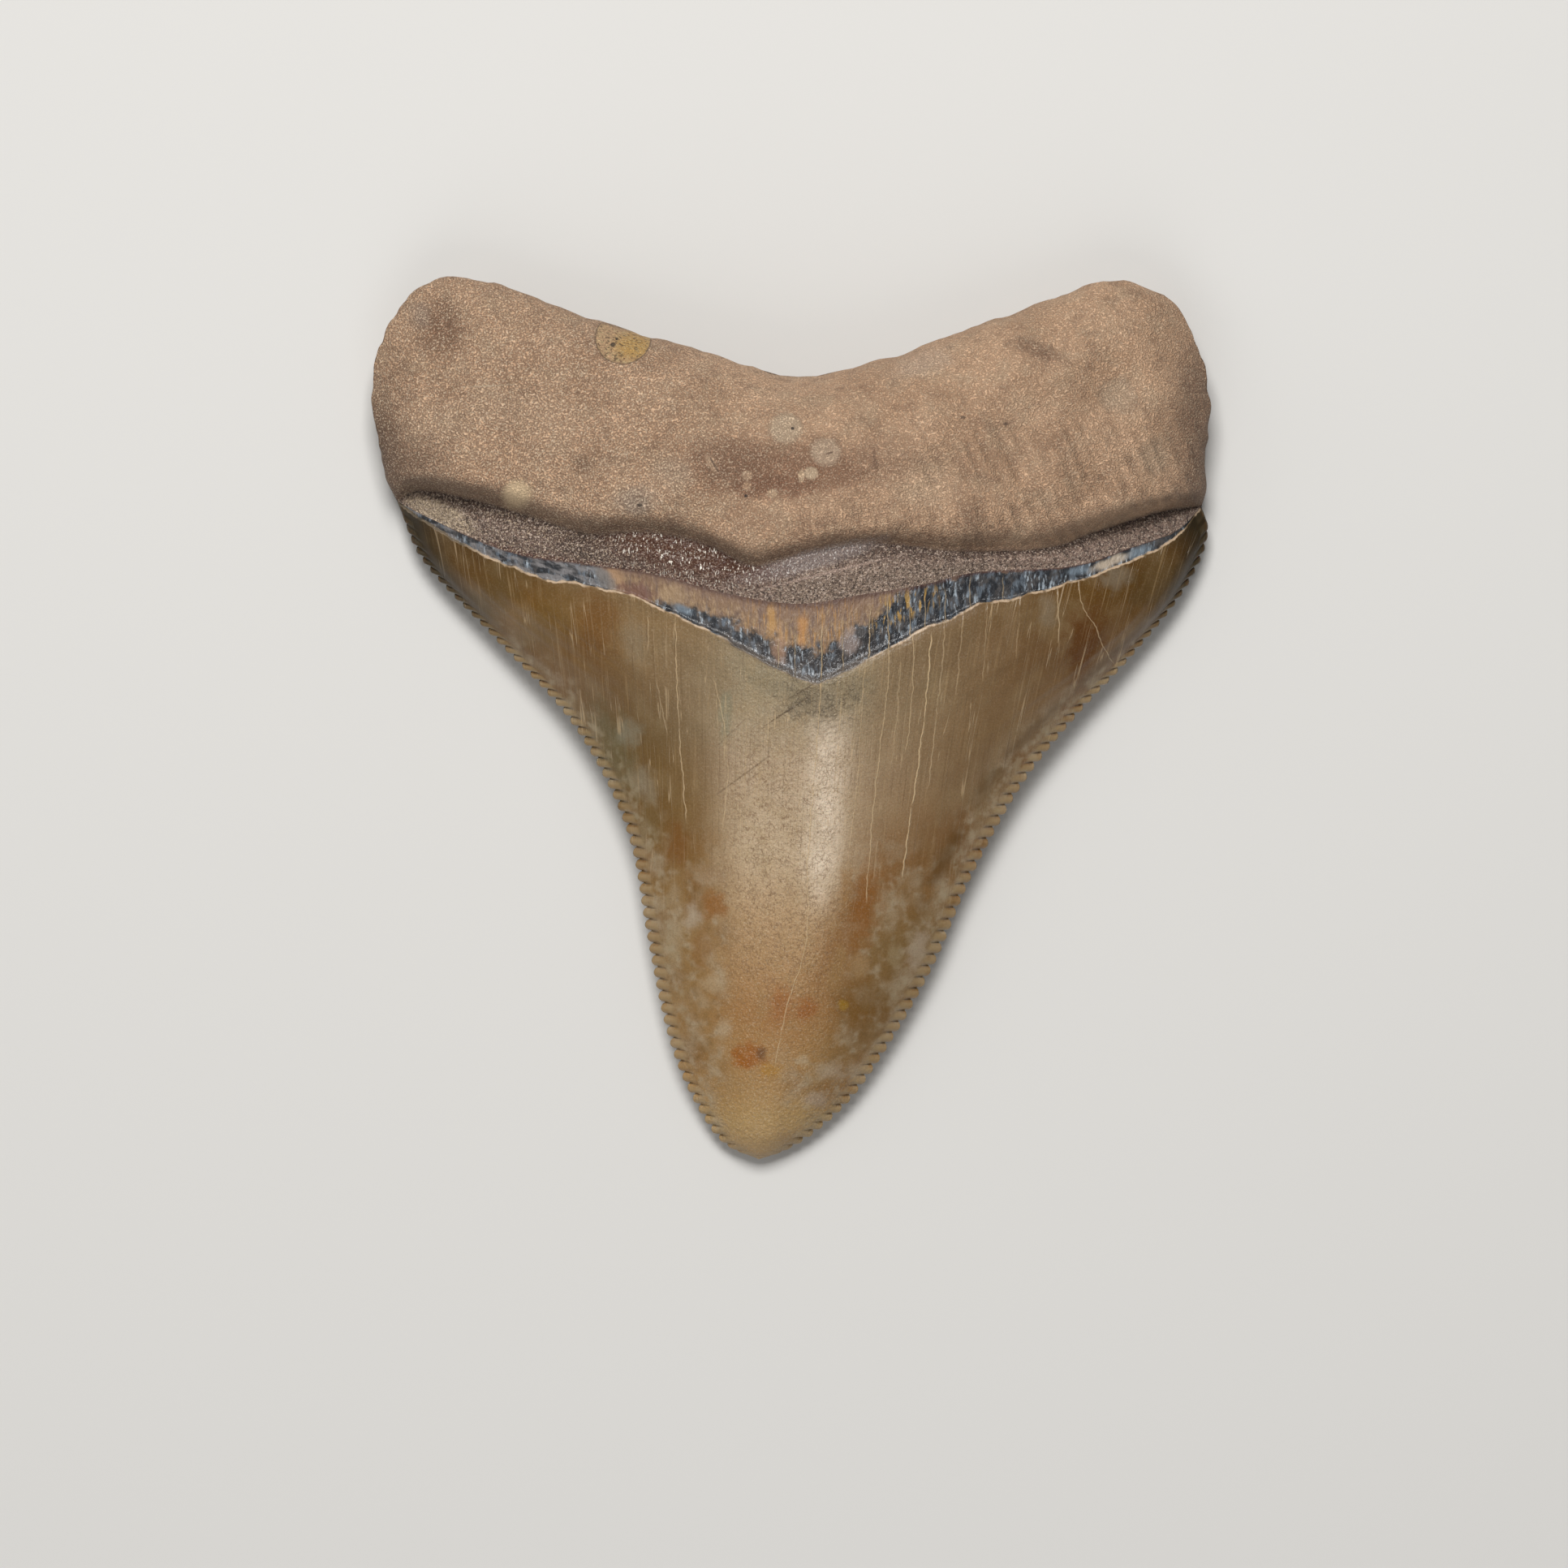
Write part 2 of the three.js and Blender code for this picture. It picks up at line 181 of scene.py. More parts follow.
def ripple(x: np.ndarray, y: np.ndarray, size: float, seed: float) -> np.ndarray:
    """Soft natural unevenness, from about -1 to 1, with lumps of this size in millimetres."""
    values = [noise.noise(Vector((u / size, w / size, seed))) for u, w in zip(x.tolist(), y.tolist())]
    return np.array(values) * NOISE_GAIN


@dataclass(frozen=True)
class Dent:
    """A round mark on the root: a pit with a low rim, in millimetres."""

    x: float
    y: float
    radius: float
    depth: float


@dataclass
class ToothForm:
    """The tooth's shape, the same as the solid's, with its fine relief added. Lengths and heights are in
    millimetres, and a turn, a share or a fade is a share of a line's or a row's length."""

    left_edge: Points = (
        (-2.6, -35.4), (-5.3, -34.1), (-8.1, -29.8), (-9.8, -25.2), (-11.5, -16.9), (-12.7, -10.1),
        (-14.8, -4.8), (-18.1, 0.5), (-24, 6.8), (-29.7, 13.1), (-31.6, 17.4),
    )
    right_edge: Points = (
        (-2.6, -35.4), (-0.2, -34.5), (4.2, -31), (8.1, -25.5), (11.5, -19.3), (14.3, -12.7),
        (18.5, -5.1), (22.8, 0.3), (27.5, 5.4), (31.7, 10.8), (33.4, 15.1), (32.9, 17),
    )
    enamel_edge: Points = (
        (-31.6, 17.4), (-28.2, 15), (-20.3, 11.3), (-14.2, 10.1), (-9.5, 8.3), (-4.6, 5.8), (-1.3, 4),
        (2.3, 2.8), (5.9, 4.6), (10.2, 6.8), (14.6, 8.8), (20.4, 10.2), (25.2, 11.8), (30.5, 14.3),
        (32.9, 17),
    )
    band_top: Points = (
        (-31.6, 17.4), (-28.7, 15.9), (-22.3, 13.2), (-15.5, 12.1), (-10.6, 11.3), (-5, 9.8), (0.6, 9),
        (6, 9.8), (10.3, 10.5), (14.4, 11.5), (22.5, 12.1), (27.1, 13.6), (31.1, 15.2), (32.9, 17),
    )
    groove: Points = (
        (-31.6, 17.4), (-30, 18.2), (-25, 17.3), (-20.4, 15.9), (-16, 14.6), (-11.3, 14.7),
        (-6.8, 13.7), (-2.9, 12), (1.2, 13), (6.6, 13.8), (13.1, 13.2), (20.7, 13.6), (24.2, 14.8),
        (29.9, 16.6), (32.9, 17),
    )
    root_outline: Points = (
        (-31.6, 17.4), (-32.6, 19.5), (-33.3, 22.8), (-33.6, 26.9), (-32.8, 30.6), (-30.9, 33.6),
        (-27.9, 35.3), (-23.9, 34.9), (-16.2, 32.1), (-7.7, 29.6), (-2.2, 27.9), (0.6, 27.4),
        (3.5, 27.7), (9, 29.4), (20.2, 33.4), (24.4, 34.9), (27.5, 35), (30.6, 33.3), (32.8, 29.6),
        (33.6, 25.6), (33.5, 23.5), (33.3, 20.5), (33.3, 18.4), (32.9, 17),
    )
    flat_enamel_edge: Points = (
        (-31.6, 17.4), (-26.5, 16.4), (-16.5, 13.2), (-6.5, 10.9), (1, 10.3), (8.8, 10.9), (18.5, 13.2),
        (28, 16.1), (32.9, 17),
    )
    cutting_edge_height: Points = (
        (-35.4, 1.1), (-32.7, 1.7), (-24.5, 2.7), (-9.4, 3.5), (0, 3.3), (7, 2.8), (17.4, 2.2),
    )
    crown_ridge_height: Points = (
        (-35.4, 1.1), (-34.8, 2.3), (-33.2, 3.8), (-29.2, 5.5), (-23.4, 7.2), (-16.4, 8.8),
        (-9.4, 10.4), (-3.5, 11.9), (0.4, 13.1), (2.8, 13.9),
    )
    outline_height: Points = ((16.9, 2.2), (18.6, 2.7), (21, 3.7), (24.4, 4.3), (28, 4.4), (36, 4.2))
    notch_outline_rise: float = 0.9
    notch_width: float = 9
    left_lobe_turn: float = 0.1
    right_lobe_turn: float = 0.9
    root_height: float = 15.6
    root_fall: float = 6.6
    root_reach: float = 29
    root_bow: float = 1.55
    root_back_fall: float = 0.2
    middle_x: float = 0.8
    serrations: int = 64
    serration_depth: float = 0.46
    serration_out: float = 0.16
    serration_round: float = 0.6
    bead_reach: float = 1.15
    bead_height: float = 0.3
    bead_level: float = 0.75
    bead_shoulder: float = 0.25
    rim_wobble: float = 0.22
    rim_reach: float = 3
    rim_lean: float = 0.25
    root_middle_y: float = 22
    tip_worn: float = 4
    corner_worn: float = 4
    enamel_step: float = 0.35
    enamel_jag: float = 0.16
    enamel_swell: float = 0.07
    enamel_stria: float = 0.035
    enamel_drop: float = 0.06
    wrinkle_height: float = 0.12
    band_grain: float = 0.05
    neck_lumps: float = 0.09
    neck_grain: float = 0.06
    neck_rise: float = 0.45
    groove_depth: float = 0.6
    hollow_depth: float = 0.55
    hollow_x: float = -8
    hollow_width: float = 5.5
    hollow_turn: float = 0.6
    ridge_height: float = 0.2
    root_swell: float = 0.06
    root_grain: float = 0.05
    root_drop: float = 0.06
    dent_sink: float = 0.6
    dent_rim: float = 0.5
    lump_height: float = 0.16
    lump_waves: tuple[tuple[float, float, float], ...] = (
        (0.62, 0.31, 0), (-0.45, 0.83, 0.7), (1.05, -0.2, 2),
    )
    rest_wear: float = 0.2
    flat_root_rise: float = 0.12
    flat_root_swell: float = 0.1
    flat_root_grain: float = 0.06
    flat_root_relief: float = 0.8
    neck_hollow: float = 0.7
    neck_hollow_reach: tuple[float, float] = (-1, 10)
    notch_hollow: float = 0.9
    notch_hollow_width: float = 12
    domed_roll: float = 6
    flat_roll: float = 4.6
    tip_blunt: float = 4.4
    crown_sag: float = 3
    row_straight: float = 0.9
    row_straight_fade: tuple[float, float] = (0.5, 1)
    lens_at_tip: float = 2.1
    lens_at_neck: float = 1.8
    flat_lens: float = 2.3
    neck_fade: float = 0.35
    step_share: float = 0.1
    climb_share: float = 0.11
    flat_neck_share: float = 0.45
    dents: tuple[Dent, ...] = (
        Dent(-0.45, 22.9, 1.3, 0.13), Dent(2.7, 21, 1.15, 0.12), Dent(1.55, 19.3, 0.5, 0.1),
        Dent(0.8, 19, 0.35, 0.1), Dent(-3.5, 19.15, 0.4, 0.12), Dent(-3.5, 18.3, 0.35, 0.1),
        Dent(-1.5, 17.7, 0.4, 0.1), Dent(26, 25.6, 1.4, 0.08), Dent(28.9, 20.8, 1.3, 0.06),
        Dent(13.6, 23.8, 0.3, 0.16), Dent(-13.6, 30.2, 2.2, 0.12), Dent(-12.3, 17.2, 1, 0.1),
    )

    def __post_init__(self) -> None:
        """Makes the smooth lines from their points."""
        self.left = SmoothLine(self.left_edge)
        self.right = SmoothLine(self.right_edge)
        self.enamel = SmoothLine(self.enamel_edge)
        self.band = SmoothLine(self.band_top)
        self.furrow = SmoothLine(self.groove)
        self.outline = SmoothLine(self.root_outline)
        self.flat_enamel = SmoothLine(self.flat_enamel_edge)
        self.edge_line = HeightLine(self.cutting_edge_height)
        self.ridge_line = HeightLine(self.crown_ridge_height)
        self.outline_line = HeightLine(self.outline_height)

    def middle(self, x: np.ndarray, width: float) -> np.ndarray:
        """A bell around the plane of near symmetry."""
        return bell(x - self.middle_x, width)

    def ragged_enamel(self, share: np.ndarray) -> np.ndarray:
        """The enamel's upper edge as it broke, at these shares of its length.

        Args:
            share: shares from its left end to its right one.

        Returns:
            The places (x, y).
        """
        place = self.enamel.at(share)
        x = place[:, 0]
        zero = np.zeros_like(x)
        ends = np.clip(np.sin(np.pi * share) * 4, 0, 1)
        jag = ripple(x, zero, 2.3, 4) + 0.7 * ripple(x, zero, 0.8, 9)
        place[:, 1] += self.enamel_jag * jag * ends
        return place

    def crown_place(self, upper, a: np.ndarray, v: np.ndarray) -> np.ndarray:
        """Places on the crown.

        Args:
            upper: the line of its upper end, by share.
            a: shares across, from the left cutting edge to the right one.
            v: shares up from the tip.

        Returns:
            Their (x, y).
        """
        straight = mix(self.left.at(v), self.right.at(v), a[:, None])
        straightness = self.row_straight * (1 - ease(v, *self.row_straight_fade))
        late = a - straightness * np.sin(2 * np.pi * a) / (2 * np.pi)
        level = mix(upper(np.zeros(1)), upper(np.ones(1)), late[:, None])
        return straight + (upper(late) - level) * (v**self.crown_sag)[:, None]

    def lobe_line(self, share: np.ndarray) -> np.ndarray:
        """The places on the root's upper outline, by share of the way from lobe to lobe."""
        return self.outline.at(mix(self.left_lobe_turn, self.right_lobe_turn, share))

    def root_place(self, lower: SmoothLine, a: np.ndarray, t: np.ndarray) -> np.ndarray:
        """Places on the root, from the lower line at t 0 to the outline at t 1, as crown_place.

        Args:
            lower: the line of its lower end.
            a: shares across, from the left cutting edge to the right one.
            t: shares up from that line.

        Returns:
            Their (x, y).
        """
        zero, one = np.zeros(1), np.ones(1)
        rise = t[:, None]
        place = mix(lower.at(a), self.lobe_line(a), rise)
        left_side = self.outline.at(self.left_lobe_turn * t)
        right_side = self.outline.at(mix(1, self.right_lobe_turn, t))
        left_shift = left_side - mix(lower.at(zero), self.lobe_line(zero), rise)
        right_shift = right_side - mix(lower.at(one), self.lobe_line(one), rise)
        return place + (1 - a)[:, None] * left_shift + a[:, None] * right_shift

    def edge_height(self, a: np.ndarray, v: np.ndarray) -> np.ndarray:
        """The height of the cutting edges, mixed across the crown.

        Args:
            a: shares across, from the left cutting edge to the right one.
            v: shares up from the tip.

        Returns:
            The heights.
        """
        left = self.edge_line.at(self.left.at(v)[:, 1])
        right = self.edge_line.at(self.right.at(v)[:, 1])
        return mix(left, right, a)

    def beads(self, place: np.ndarray, a: np.ndarray, v: np.ndarray, up: float) -> None:
        """Moves points near the cutting edges into the rounded serrations, worn at both ends.

        Args:
            place: the points (x, y, z), changed in place.
            a: their shares across.
            v: their shares up from the tip.
            up: 1 on the domed face and -1 on the flat one.
        """
        bead = np.abs(np.sin(np.pi * self.serrations * v)) ** self.serration_round
        for line, at_edge, outward in ((self.left, a < 0.5, 1), (self.right, a >= 0.5, -1)):
            worn = np.minimum(v * line.length / self.tip_worn, (1 - v) * line.length / self.corner_worn)
            worn = np.clip(worn, 0, 1) ** 2
            inward = np.linalg.norm(place[:, :2] - line.at(v), axis=1)
            near = np.clip(1 - inward / self.bead_reach, 0, 1) * at_edge
            push = (self.serration_out - self.serration_depth * (1 - bead)) * worn * near**2
            place[:, :2] += line.normal(v) * (outward * push)[:, None]
            knob = near * np.clip(inward / self.bead_shoulder, 0, 1)
            place[:, 2] += up * self.bead_height * (bead - self.bead_level) * worn * knob

    def crown_domed(self, a: np.ndarray, v: np.ndarray) -> np.ndarray:
        """Points of the crown's domed face.

        Args:
            a: shares across, from the left cutting edge to the right one.
            v: shares up from the tip.

        Returns:
            The points (x, y, z).
        """
        flat = self.crown_place(self.ragged_enamel, a, v)
        edge = self.edge_height(a, v)
        middle = np.full_like(a, 0.5)
        ridge = self.ridge_line.at(self.crown_place(self.enamel.at, middle, v)[:, 1])
        across = np.abs(2 * a - 1)
        lens = 1 - across ** mix(self.lens_at_tip, self.lens_at_neck, v)
        height = edge + np.maximum(ridge - edge, 0) * lens
        place = np.column_stack([flat, height])
        self.beads(place, a, v, 1)
        inside = np.clip(1 - across**8, 0, 1) * ease(v, 0.02, 0.1)
        x, y = flat.T
        swell = self.enamel_swell * ripple(x, y, 5, 1)
        striae = self.enamel_stria * ripple(x * 2.5, y * 0.35, 3, 2)
        place[:, 2] += inside * (swell + striae - self.enamel_drop)
        return place

    def flat_face(self, across: np.ndarray, edge: np.ndarray, y: np.ndarray) -> np.ndarray:
        """The flat face before it is worn off where it rests, with its hollow under the neck.

        Args:
            across: from 0 in the middle to 1 on a cutting edge.
            edge: the height of the cutting edges there.
            y: the places along the tooth.

        Returns:
            Its heights, below 0 where it rests.
        """
        hollow = self.neck_hollow * (1 - across**2) * ease(y, *self.neck_hollow_reach)
        return edge * across**self.flat_lens - self.rest_wear * (1 - across) + hollow

    def crown_flat(self, a: np.ndarray, v: np.ndarray) -> np.ndarray:
        """Points of the crown's flat face.

        Args:
            a: shares across, from the left cutting edge to the right one.
            v: shares up from the tip.

        Returns:
            The points (x, y, z).
        """
        flat = self.crown_place(self.flat_enamel.at, a, v)
        edge = self.edge_height(a, v)
        across = np.abs(2 * a - 1)
        x, y = flat.T
        full = self.flat_face(across, edge, y)
        wrinkle = self.wrinkle_height * ripple(x * 3, y * 0.5, 4, 7) * ease(y, 2, 9) * (1 - across**6)
        near_tip = 1 - ease(y, self.left_edge[0][1], self.left_edge[0][1] + self.tip_blunt)
        height = mix(np.maximum(full + wrinkle, 0), edge, near_tip**2)
        place = np.column_stack([flat, height])
        self.beads(place, a, v, -1)
        return place

    def enamel_height(self, a: np.ndarray) -> np.ndarray:
        """The height of the domed face at the enamel's upper edge.

        Args:
            a: shares across, from the left cutting edge to the right one.

        Returns:
            The heights.
        """
        edge = self.edge_height(a, np.ones_like(a))
        across = np.abs(2 * a - 1)
        lens = 1 - across**self.lens_at_neck
        return edge + (self.crown_ridge_height[-1][1] - edge) * lens - self.enamel_drop * (1 - across**8)

    def hollow_at(self, x: np.ndarray) -> np.ndarray:
        """How deep the hollow under the furrow is at x."""
        return self.hollow_depth * bell(x - self.hollow_x, self.hollow_width)

    def neck_fade_at(self, a: np.ndarray) -> np.ndarray:
        """How much of the neck's relief there is, none at its two ends."""
        return np.sin(np.pi * np.clip(a, 0, 1)) ** self.neck_fade

    def band_domed(self, a: np.ndarray, t: np.ndarray) -> np.ndarray:
        """Points of the dark band, from the enamel's broken edge up to the neck.

        Args:
            a: shares across, from the left cutting edge to the right one.
            t: shares up from the enamel's edge.

        Returns:
            The points (x, y, z).
        """
        lower = self.ragged_enamel(a)
        flat = mix(lower, self.band.at(a), t[:, None])
        step = ease(t, 0, self.step_share)
        rise = -self.enamel_step * step * (1 - t)
        x, y = flat.T
        rough = self.band_grain * ripple(x * 2, y * 0.7, 1.2, 3) * step * ease(1 - t, 0, 0.15)
        enamel = self.crown_domed(a, np.ones_like(a))[:, 2]
        start = mix(enamel, self.enamel_height(a), ease(t, 0, 0.6))
        return np.column_stack([flat, start + self.neck_fade_at(a) * (rise + rough)])

    def neck_domed(self, a: np.ndarray, t: np.ndarray) -> np.ndarray:
        """Points of the rough neck, from the dark band up to the furrow.

        Args:
            a: shares across, from the left cutting edge to the right one.
            t: shares up from the band.

        Returns:
            The points (x, y, z).
        """
        flat = mix(self.band.at(a), self.furrow.at(a), t[:, None])
        x, y = flat.T
        rise = self.neck_rise * ease(t, 0, 0.5) - self.groove_depth * ease(t, 0.5, 1)
        hollow = self.hollow_at(x) * np.sin(np.pi * np.clip(t, 0, 1) * self.hollow_turn)
        lumps = self.neck_lumps * ripple(x, y, 1.6, 5) + self.neck_grain * ripple(x, y, 0.7, 6)
        rough = lumps * ease(t, 0, 0.15)
        relief = rise + rough * ease(1 - t, 0, 0.1) - hollow * ease(t, 0.05, 0.7)
        return np.column_stack([flat, self.enamel_height(a) + self.neck_fade_at(a) * relief])

    def margin_height(self, place: np.ndarray) -> np.ndarray:
        """The height of the root's outline beside these places."""
        rise = self.notch_outline_rise * self.middle(place[:, 0], self.notch_width)
        return self.outline_line.at(place[:, 1]) + rise

    def inside_outline(self, place: np.ndarray) -> np.ndarray:
        """How far places are from the root's outline."""
        return nearest(place, self.outline.at(np.linspace(0, 1, 500)))

    def roll(self, place: np.ndarray, distance: float) -> np.ndarray:
        """From 0 on the root's outline to 1 at this distance inside it, as a quarter ellipse."""
        away = self.inside_outline(place)
        return np.sqrt(1 - (1 - np.minimum(away / distance, 1)) ** 2)

    def inside_edges(self, a: np.ndarray, v: np.ndarray) -> np.ndarray:
        """How far places on the crown are from its cutting edges.

        Args:
            a: shares across, from the left cutting edge to the right one.
            v: shares up from the tip.

        Returns:
            The distances.
        """
        place = self.crown_place(self.enamel.at, a, v)
        left, right = (np.linalg.norm(place - line.at(v), axis=1) for line in (self.left, self.right))
        return np.minimum(left, right)

    def weather_rim(self, place: np.ndarray) -> None:
        """Wears the root's outline unevenly, in place.

        Args:
            place: the points (x, y, z), changed in place.
        """
        away = self.inside_outline(place[:, :2])
        x, y = place[:, :2].T
        uneven = np.maximum(ripple(x, y, 2.6, 31) + 0.6 * ripple(x, y, 1.1, 32) + 0.5, 0)
        corner = np.clip((y - self.left_edge[-1][1]) / 4, 0, 1)
        middle = np.array([self.middle_x, self.root_middle_y])
        inward = middle - place[:, :2]
        inward[:, 0] *= self.rim_lean
        inward /= np.maximum(np.linalg.norm(inward, axis=1, keepdims=True), 1e-6)
        near = np.clip(1 - away / self.rim_reach, 0, 1)
        place[:, :2] += inward * (self.rim_wobble * uneven * corner * near)[:, None]

    def root_relief(self, x: np.ndarray, y: np.ndarray) -> np.ndarray:
        """The root's pits, soft ridges and grain.

        Args:
            x: the places across the tooth.
            y: the places along it.

        Returns:
            How much higher they make it.
        """
        lower_right = ease(x, 4, 12) * ease(y, 26, 19)
        ridges = lower_right * self.ridge_height * ripple(x * 1.5 + y * 0.62, y * 0.3, 1.9, 12)
        grain = self.root_swell * ripple(x, y, 2.4, 13) + self.root_grain * ripple(x, y, 0.9, 14)
        relief = ridges + grain - self.root_drop
        for dent in self.dents:
            away = np.hypot(x - dent.x, y - dent.y) / dent.radius
            relief -= dent.depth * (1 - ease(away, 0.7, 1)) * self.dent_sink
            relief += dent.depth * self.dent_rim * bell(away - 1.05, 0.15)
        return relief

    def root_domed(self, a: np.ndarray, t: np.ndarray) -> np.ndarray:
        """Points of the root's domed face, from the furrow over the swelling to the outline.

        Args:
            a: shares across, from the left cutting edge to the right one.
            t: shares up from the furrow.

        Returns:
            The points (x, y, z).
        """
        flat = self.root_place(self.furrow, a, t)
        x, y = flat.T
        hollow = self.hollow_at(x) * math.sin(math.pi * self.hollow_turn)
        low = self.neck_rise - self.groove_depth - hollow
        low = self.enamel_height(a) + self.neck_fade_at(a) * low
        margin = self.margin_height(flat)
        from_middle = np.abs(x - self.middle_x) / self.root_reach
        line = self.root_height - self.root_fall * from_middle**self.root_bow
        lumps = sum(np.sin(across * x + up * y + start) for across, up, start in self.lump_waves)
        top = line * (1 - self.root_back_fall * ease(t, self.climb_share, 1)) + self.lump_height * lumps
        roll = self.roll(flat, self.domed_roll)
        height = margin + np.maximum(top - margin, 0) * roll
        climb = np.sin(np.pi / 2 * np.minimum(t / self.climb_share, 1))
        relief = self.root_relief(x, y) * ease(t, 0, 0.12) * np.clip(roll * 2, 0, 1)
        height = mix(np.minimum(low, height), height, climb) + relief
        rim = (a <= 0) | (a >= 1) | (t >= 1)
        return np.column_stack([flat, np.where(rim, margin, height)])

    def root_flat(self, a: np.ndarray, t: np.ndarray) -> np.ndarray:
        """Points of the root's flat face, from the enamel's edge there to the outline.

        Args:
            a: shares across, from the left cutting edge to the right one.
            t: shares up from that edge.

        Returns:
            The points (x, y, z).
        """
        flat = self.root_place(self.flat_enamel, a, t)
        x, y = flat.T
        edge = self.edge_height(a, np.ones_like(a))
        across = np.abs(2 * a - 1)
        enamel = np.maximum(self.flat_face(across, edge, y), 0)
        enamel = mix(self.crown_flat(a, np.ones_like(a))[:, 2], enamel, ease(t, 0, 0.05))
        between_lobes = self.notch_hollow * self.middle(x, self.notch_hollow_width)
        lobes = np.maximum(between_lobes - self.rest_wear, 0)
        floor = mix(enamel, lobes, ease(t, 0, self.flat_neck_share))
        swell = self.flat_root_rise + self.flat_root_swell * ripple(x, y, 3.1, 21)
        grain = swell + self.flat_root_grain * ripple(x, y, 1.1, 22)
        floor = floor + np.maximum(grain, 0) * ease(t, 0, 0.1) * self.flat_root_relief
        margin = self.margin_height(flat)
        height = mix(margin, floor, self.roll(flat, self.flat_roll))
        rim = (a <= 0) | (a >= 1) | (t >= 1)
        return np.column_stack([flat, np.where(rim, margin, height)])


class Zone(Enum):
    """The zones of the tooth's skin. The value is where a zone starts in the growth map."""

    CROWN = 0
    BAND = 1
    NECK = 2
    ROOT = 3
    FLAT_CROWN = 5
    FLAT_ROOT = 6


@dataclass(frozen=True)
class Sheet:
    """How finely one zone is divided before it is shaped."""

    zone: Zone
    columns: int
    rows: int
    edge_columns: int = 0
    edge_cuts: int = 0
    top_cuts: int = 0


def linear(colour: str) -> tuple[float, float, float, float]:
    """An sRGB hex colour as linear RGBA.

    Args:
        colour: such as #c8ad86.

    Returns:
        Red, green, blue and an alpha of 1.
    """
    parts = [int(colour[k:k + 2], 16) / 255 for k in (1, 3, 5)]
    red, green, blue = (c / 12.92 if c <= 0.04045 else ((c + 0.055) / 1.055) ** 2.4 for c in parts)
    return red, green, blue, 1.0


def put(tree: bpy.types.NodeTree, kind: str, inputs: dict | None = None, out: int | str | None = 0,
        stops: tuple = (), points: tuple = (), **settings) -> Socket | None:
    """Adds a node with its settings and links.

    Args:
        tree: the material's node tree.
        kind: the node's type, without the ShaderNode before it.
        inputs: a value or an output to link, by the input's name or number.
        out: the output wanted, or None for a node that has none.
        stops: a colour ramp's (place, sRGB hex colour) pairs.
        points: a float curve's (x, y) points, between 0 and 1.
        **settings: the node's own properties.

    Returns:
        The wanted output.
    """
    made = tree.nodes.new("ShaderNode" + kind)
    for name, value in settings.items():
        setattr(made, name, value)
    for key, value in (inputs or {}).items():
        if isinstance(value, Socket):
            tree.links.new(value, made.inputs[key])
        else:
            made.inputs[key].default_value = value
    for number, (place, colour) in enumerate(stops):
        ramp = made.color_ramp.elements
        stop = ramp[number] if number < 2 else ramp.new(place)
        stop.position = place
        stop.color = linear(colour)
    if points:
        curve = made.mapping.curves[0].points
        while len(curve) < len(points):
            curve.new(0.5, 0.5)
        for point, place in zip(curve, points):
            point.location = place
        made.mapping.update()
    return None if out is None else made.outputs[out]


@dataclass(frozen=True)
class Spot:
    """A patch on the tooth, in millimetres, with its turn in degrees. One that has no colour of its
    own only marks a place."""

    x: float
    y: float
    wide: float
    high: float
    colour: str = ""
    strength: float = 1.0
    soft: float = 0.5
    turn: float = 0.0


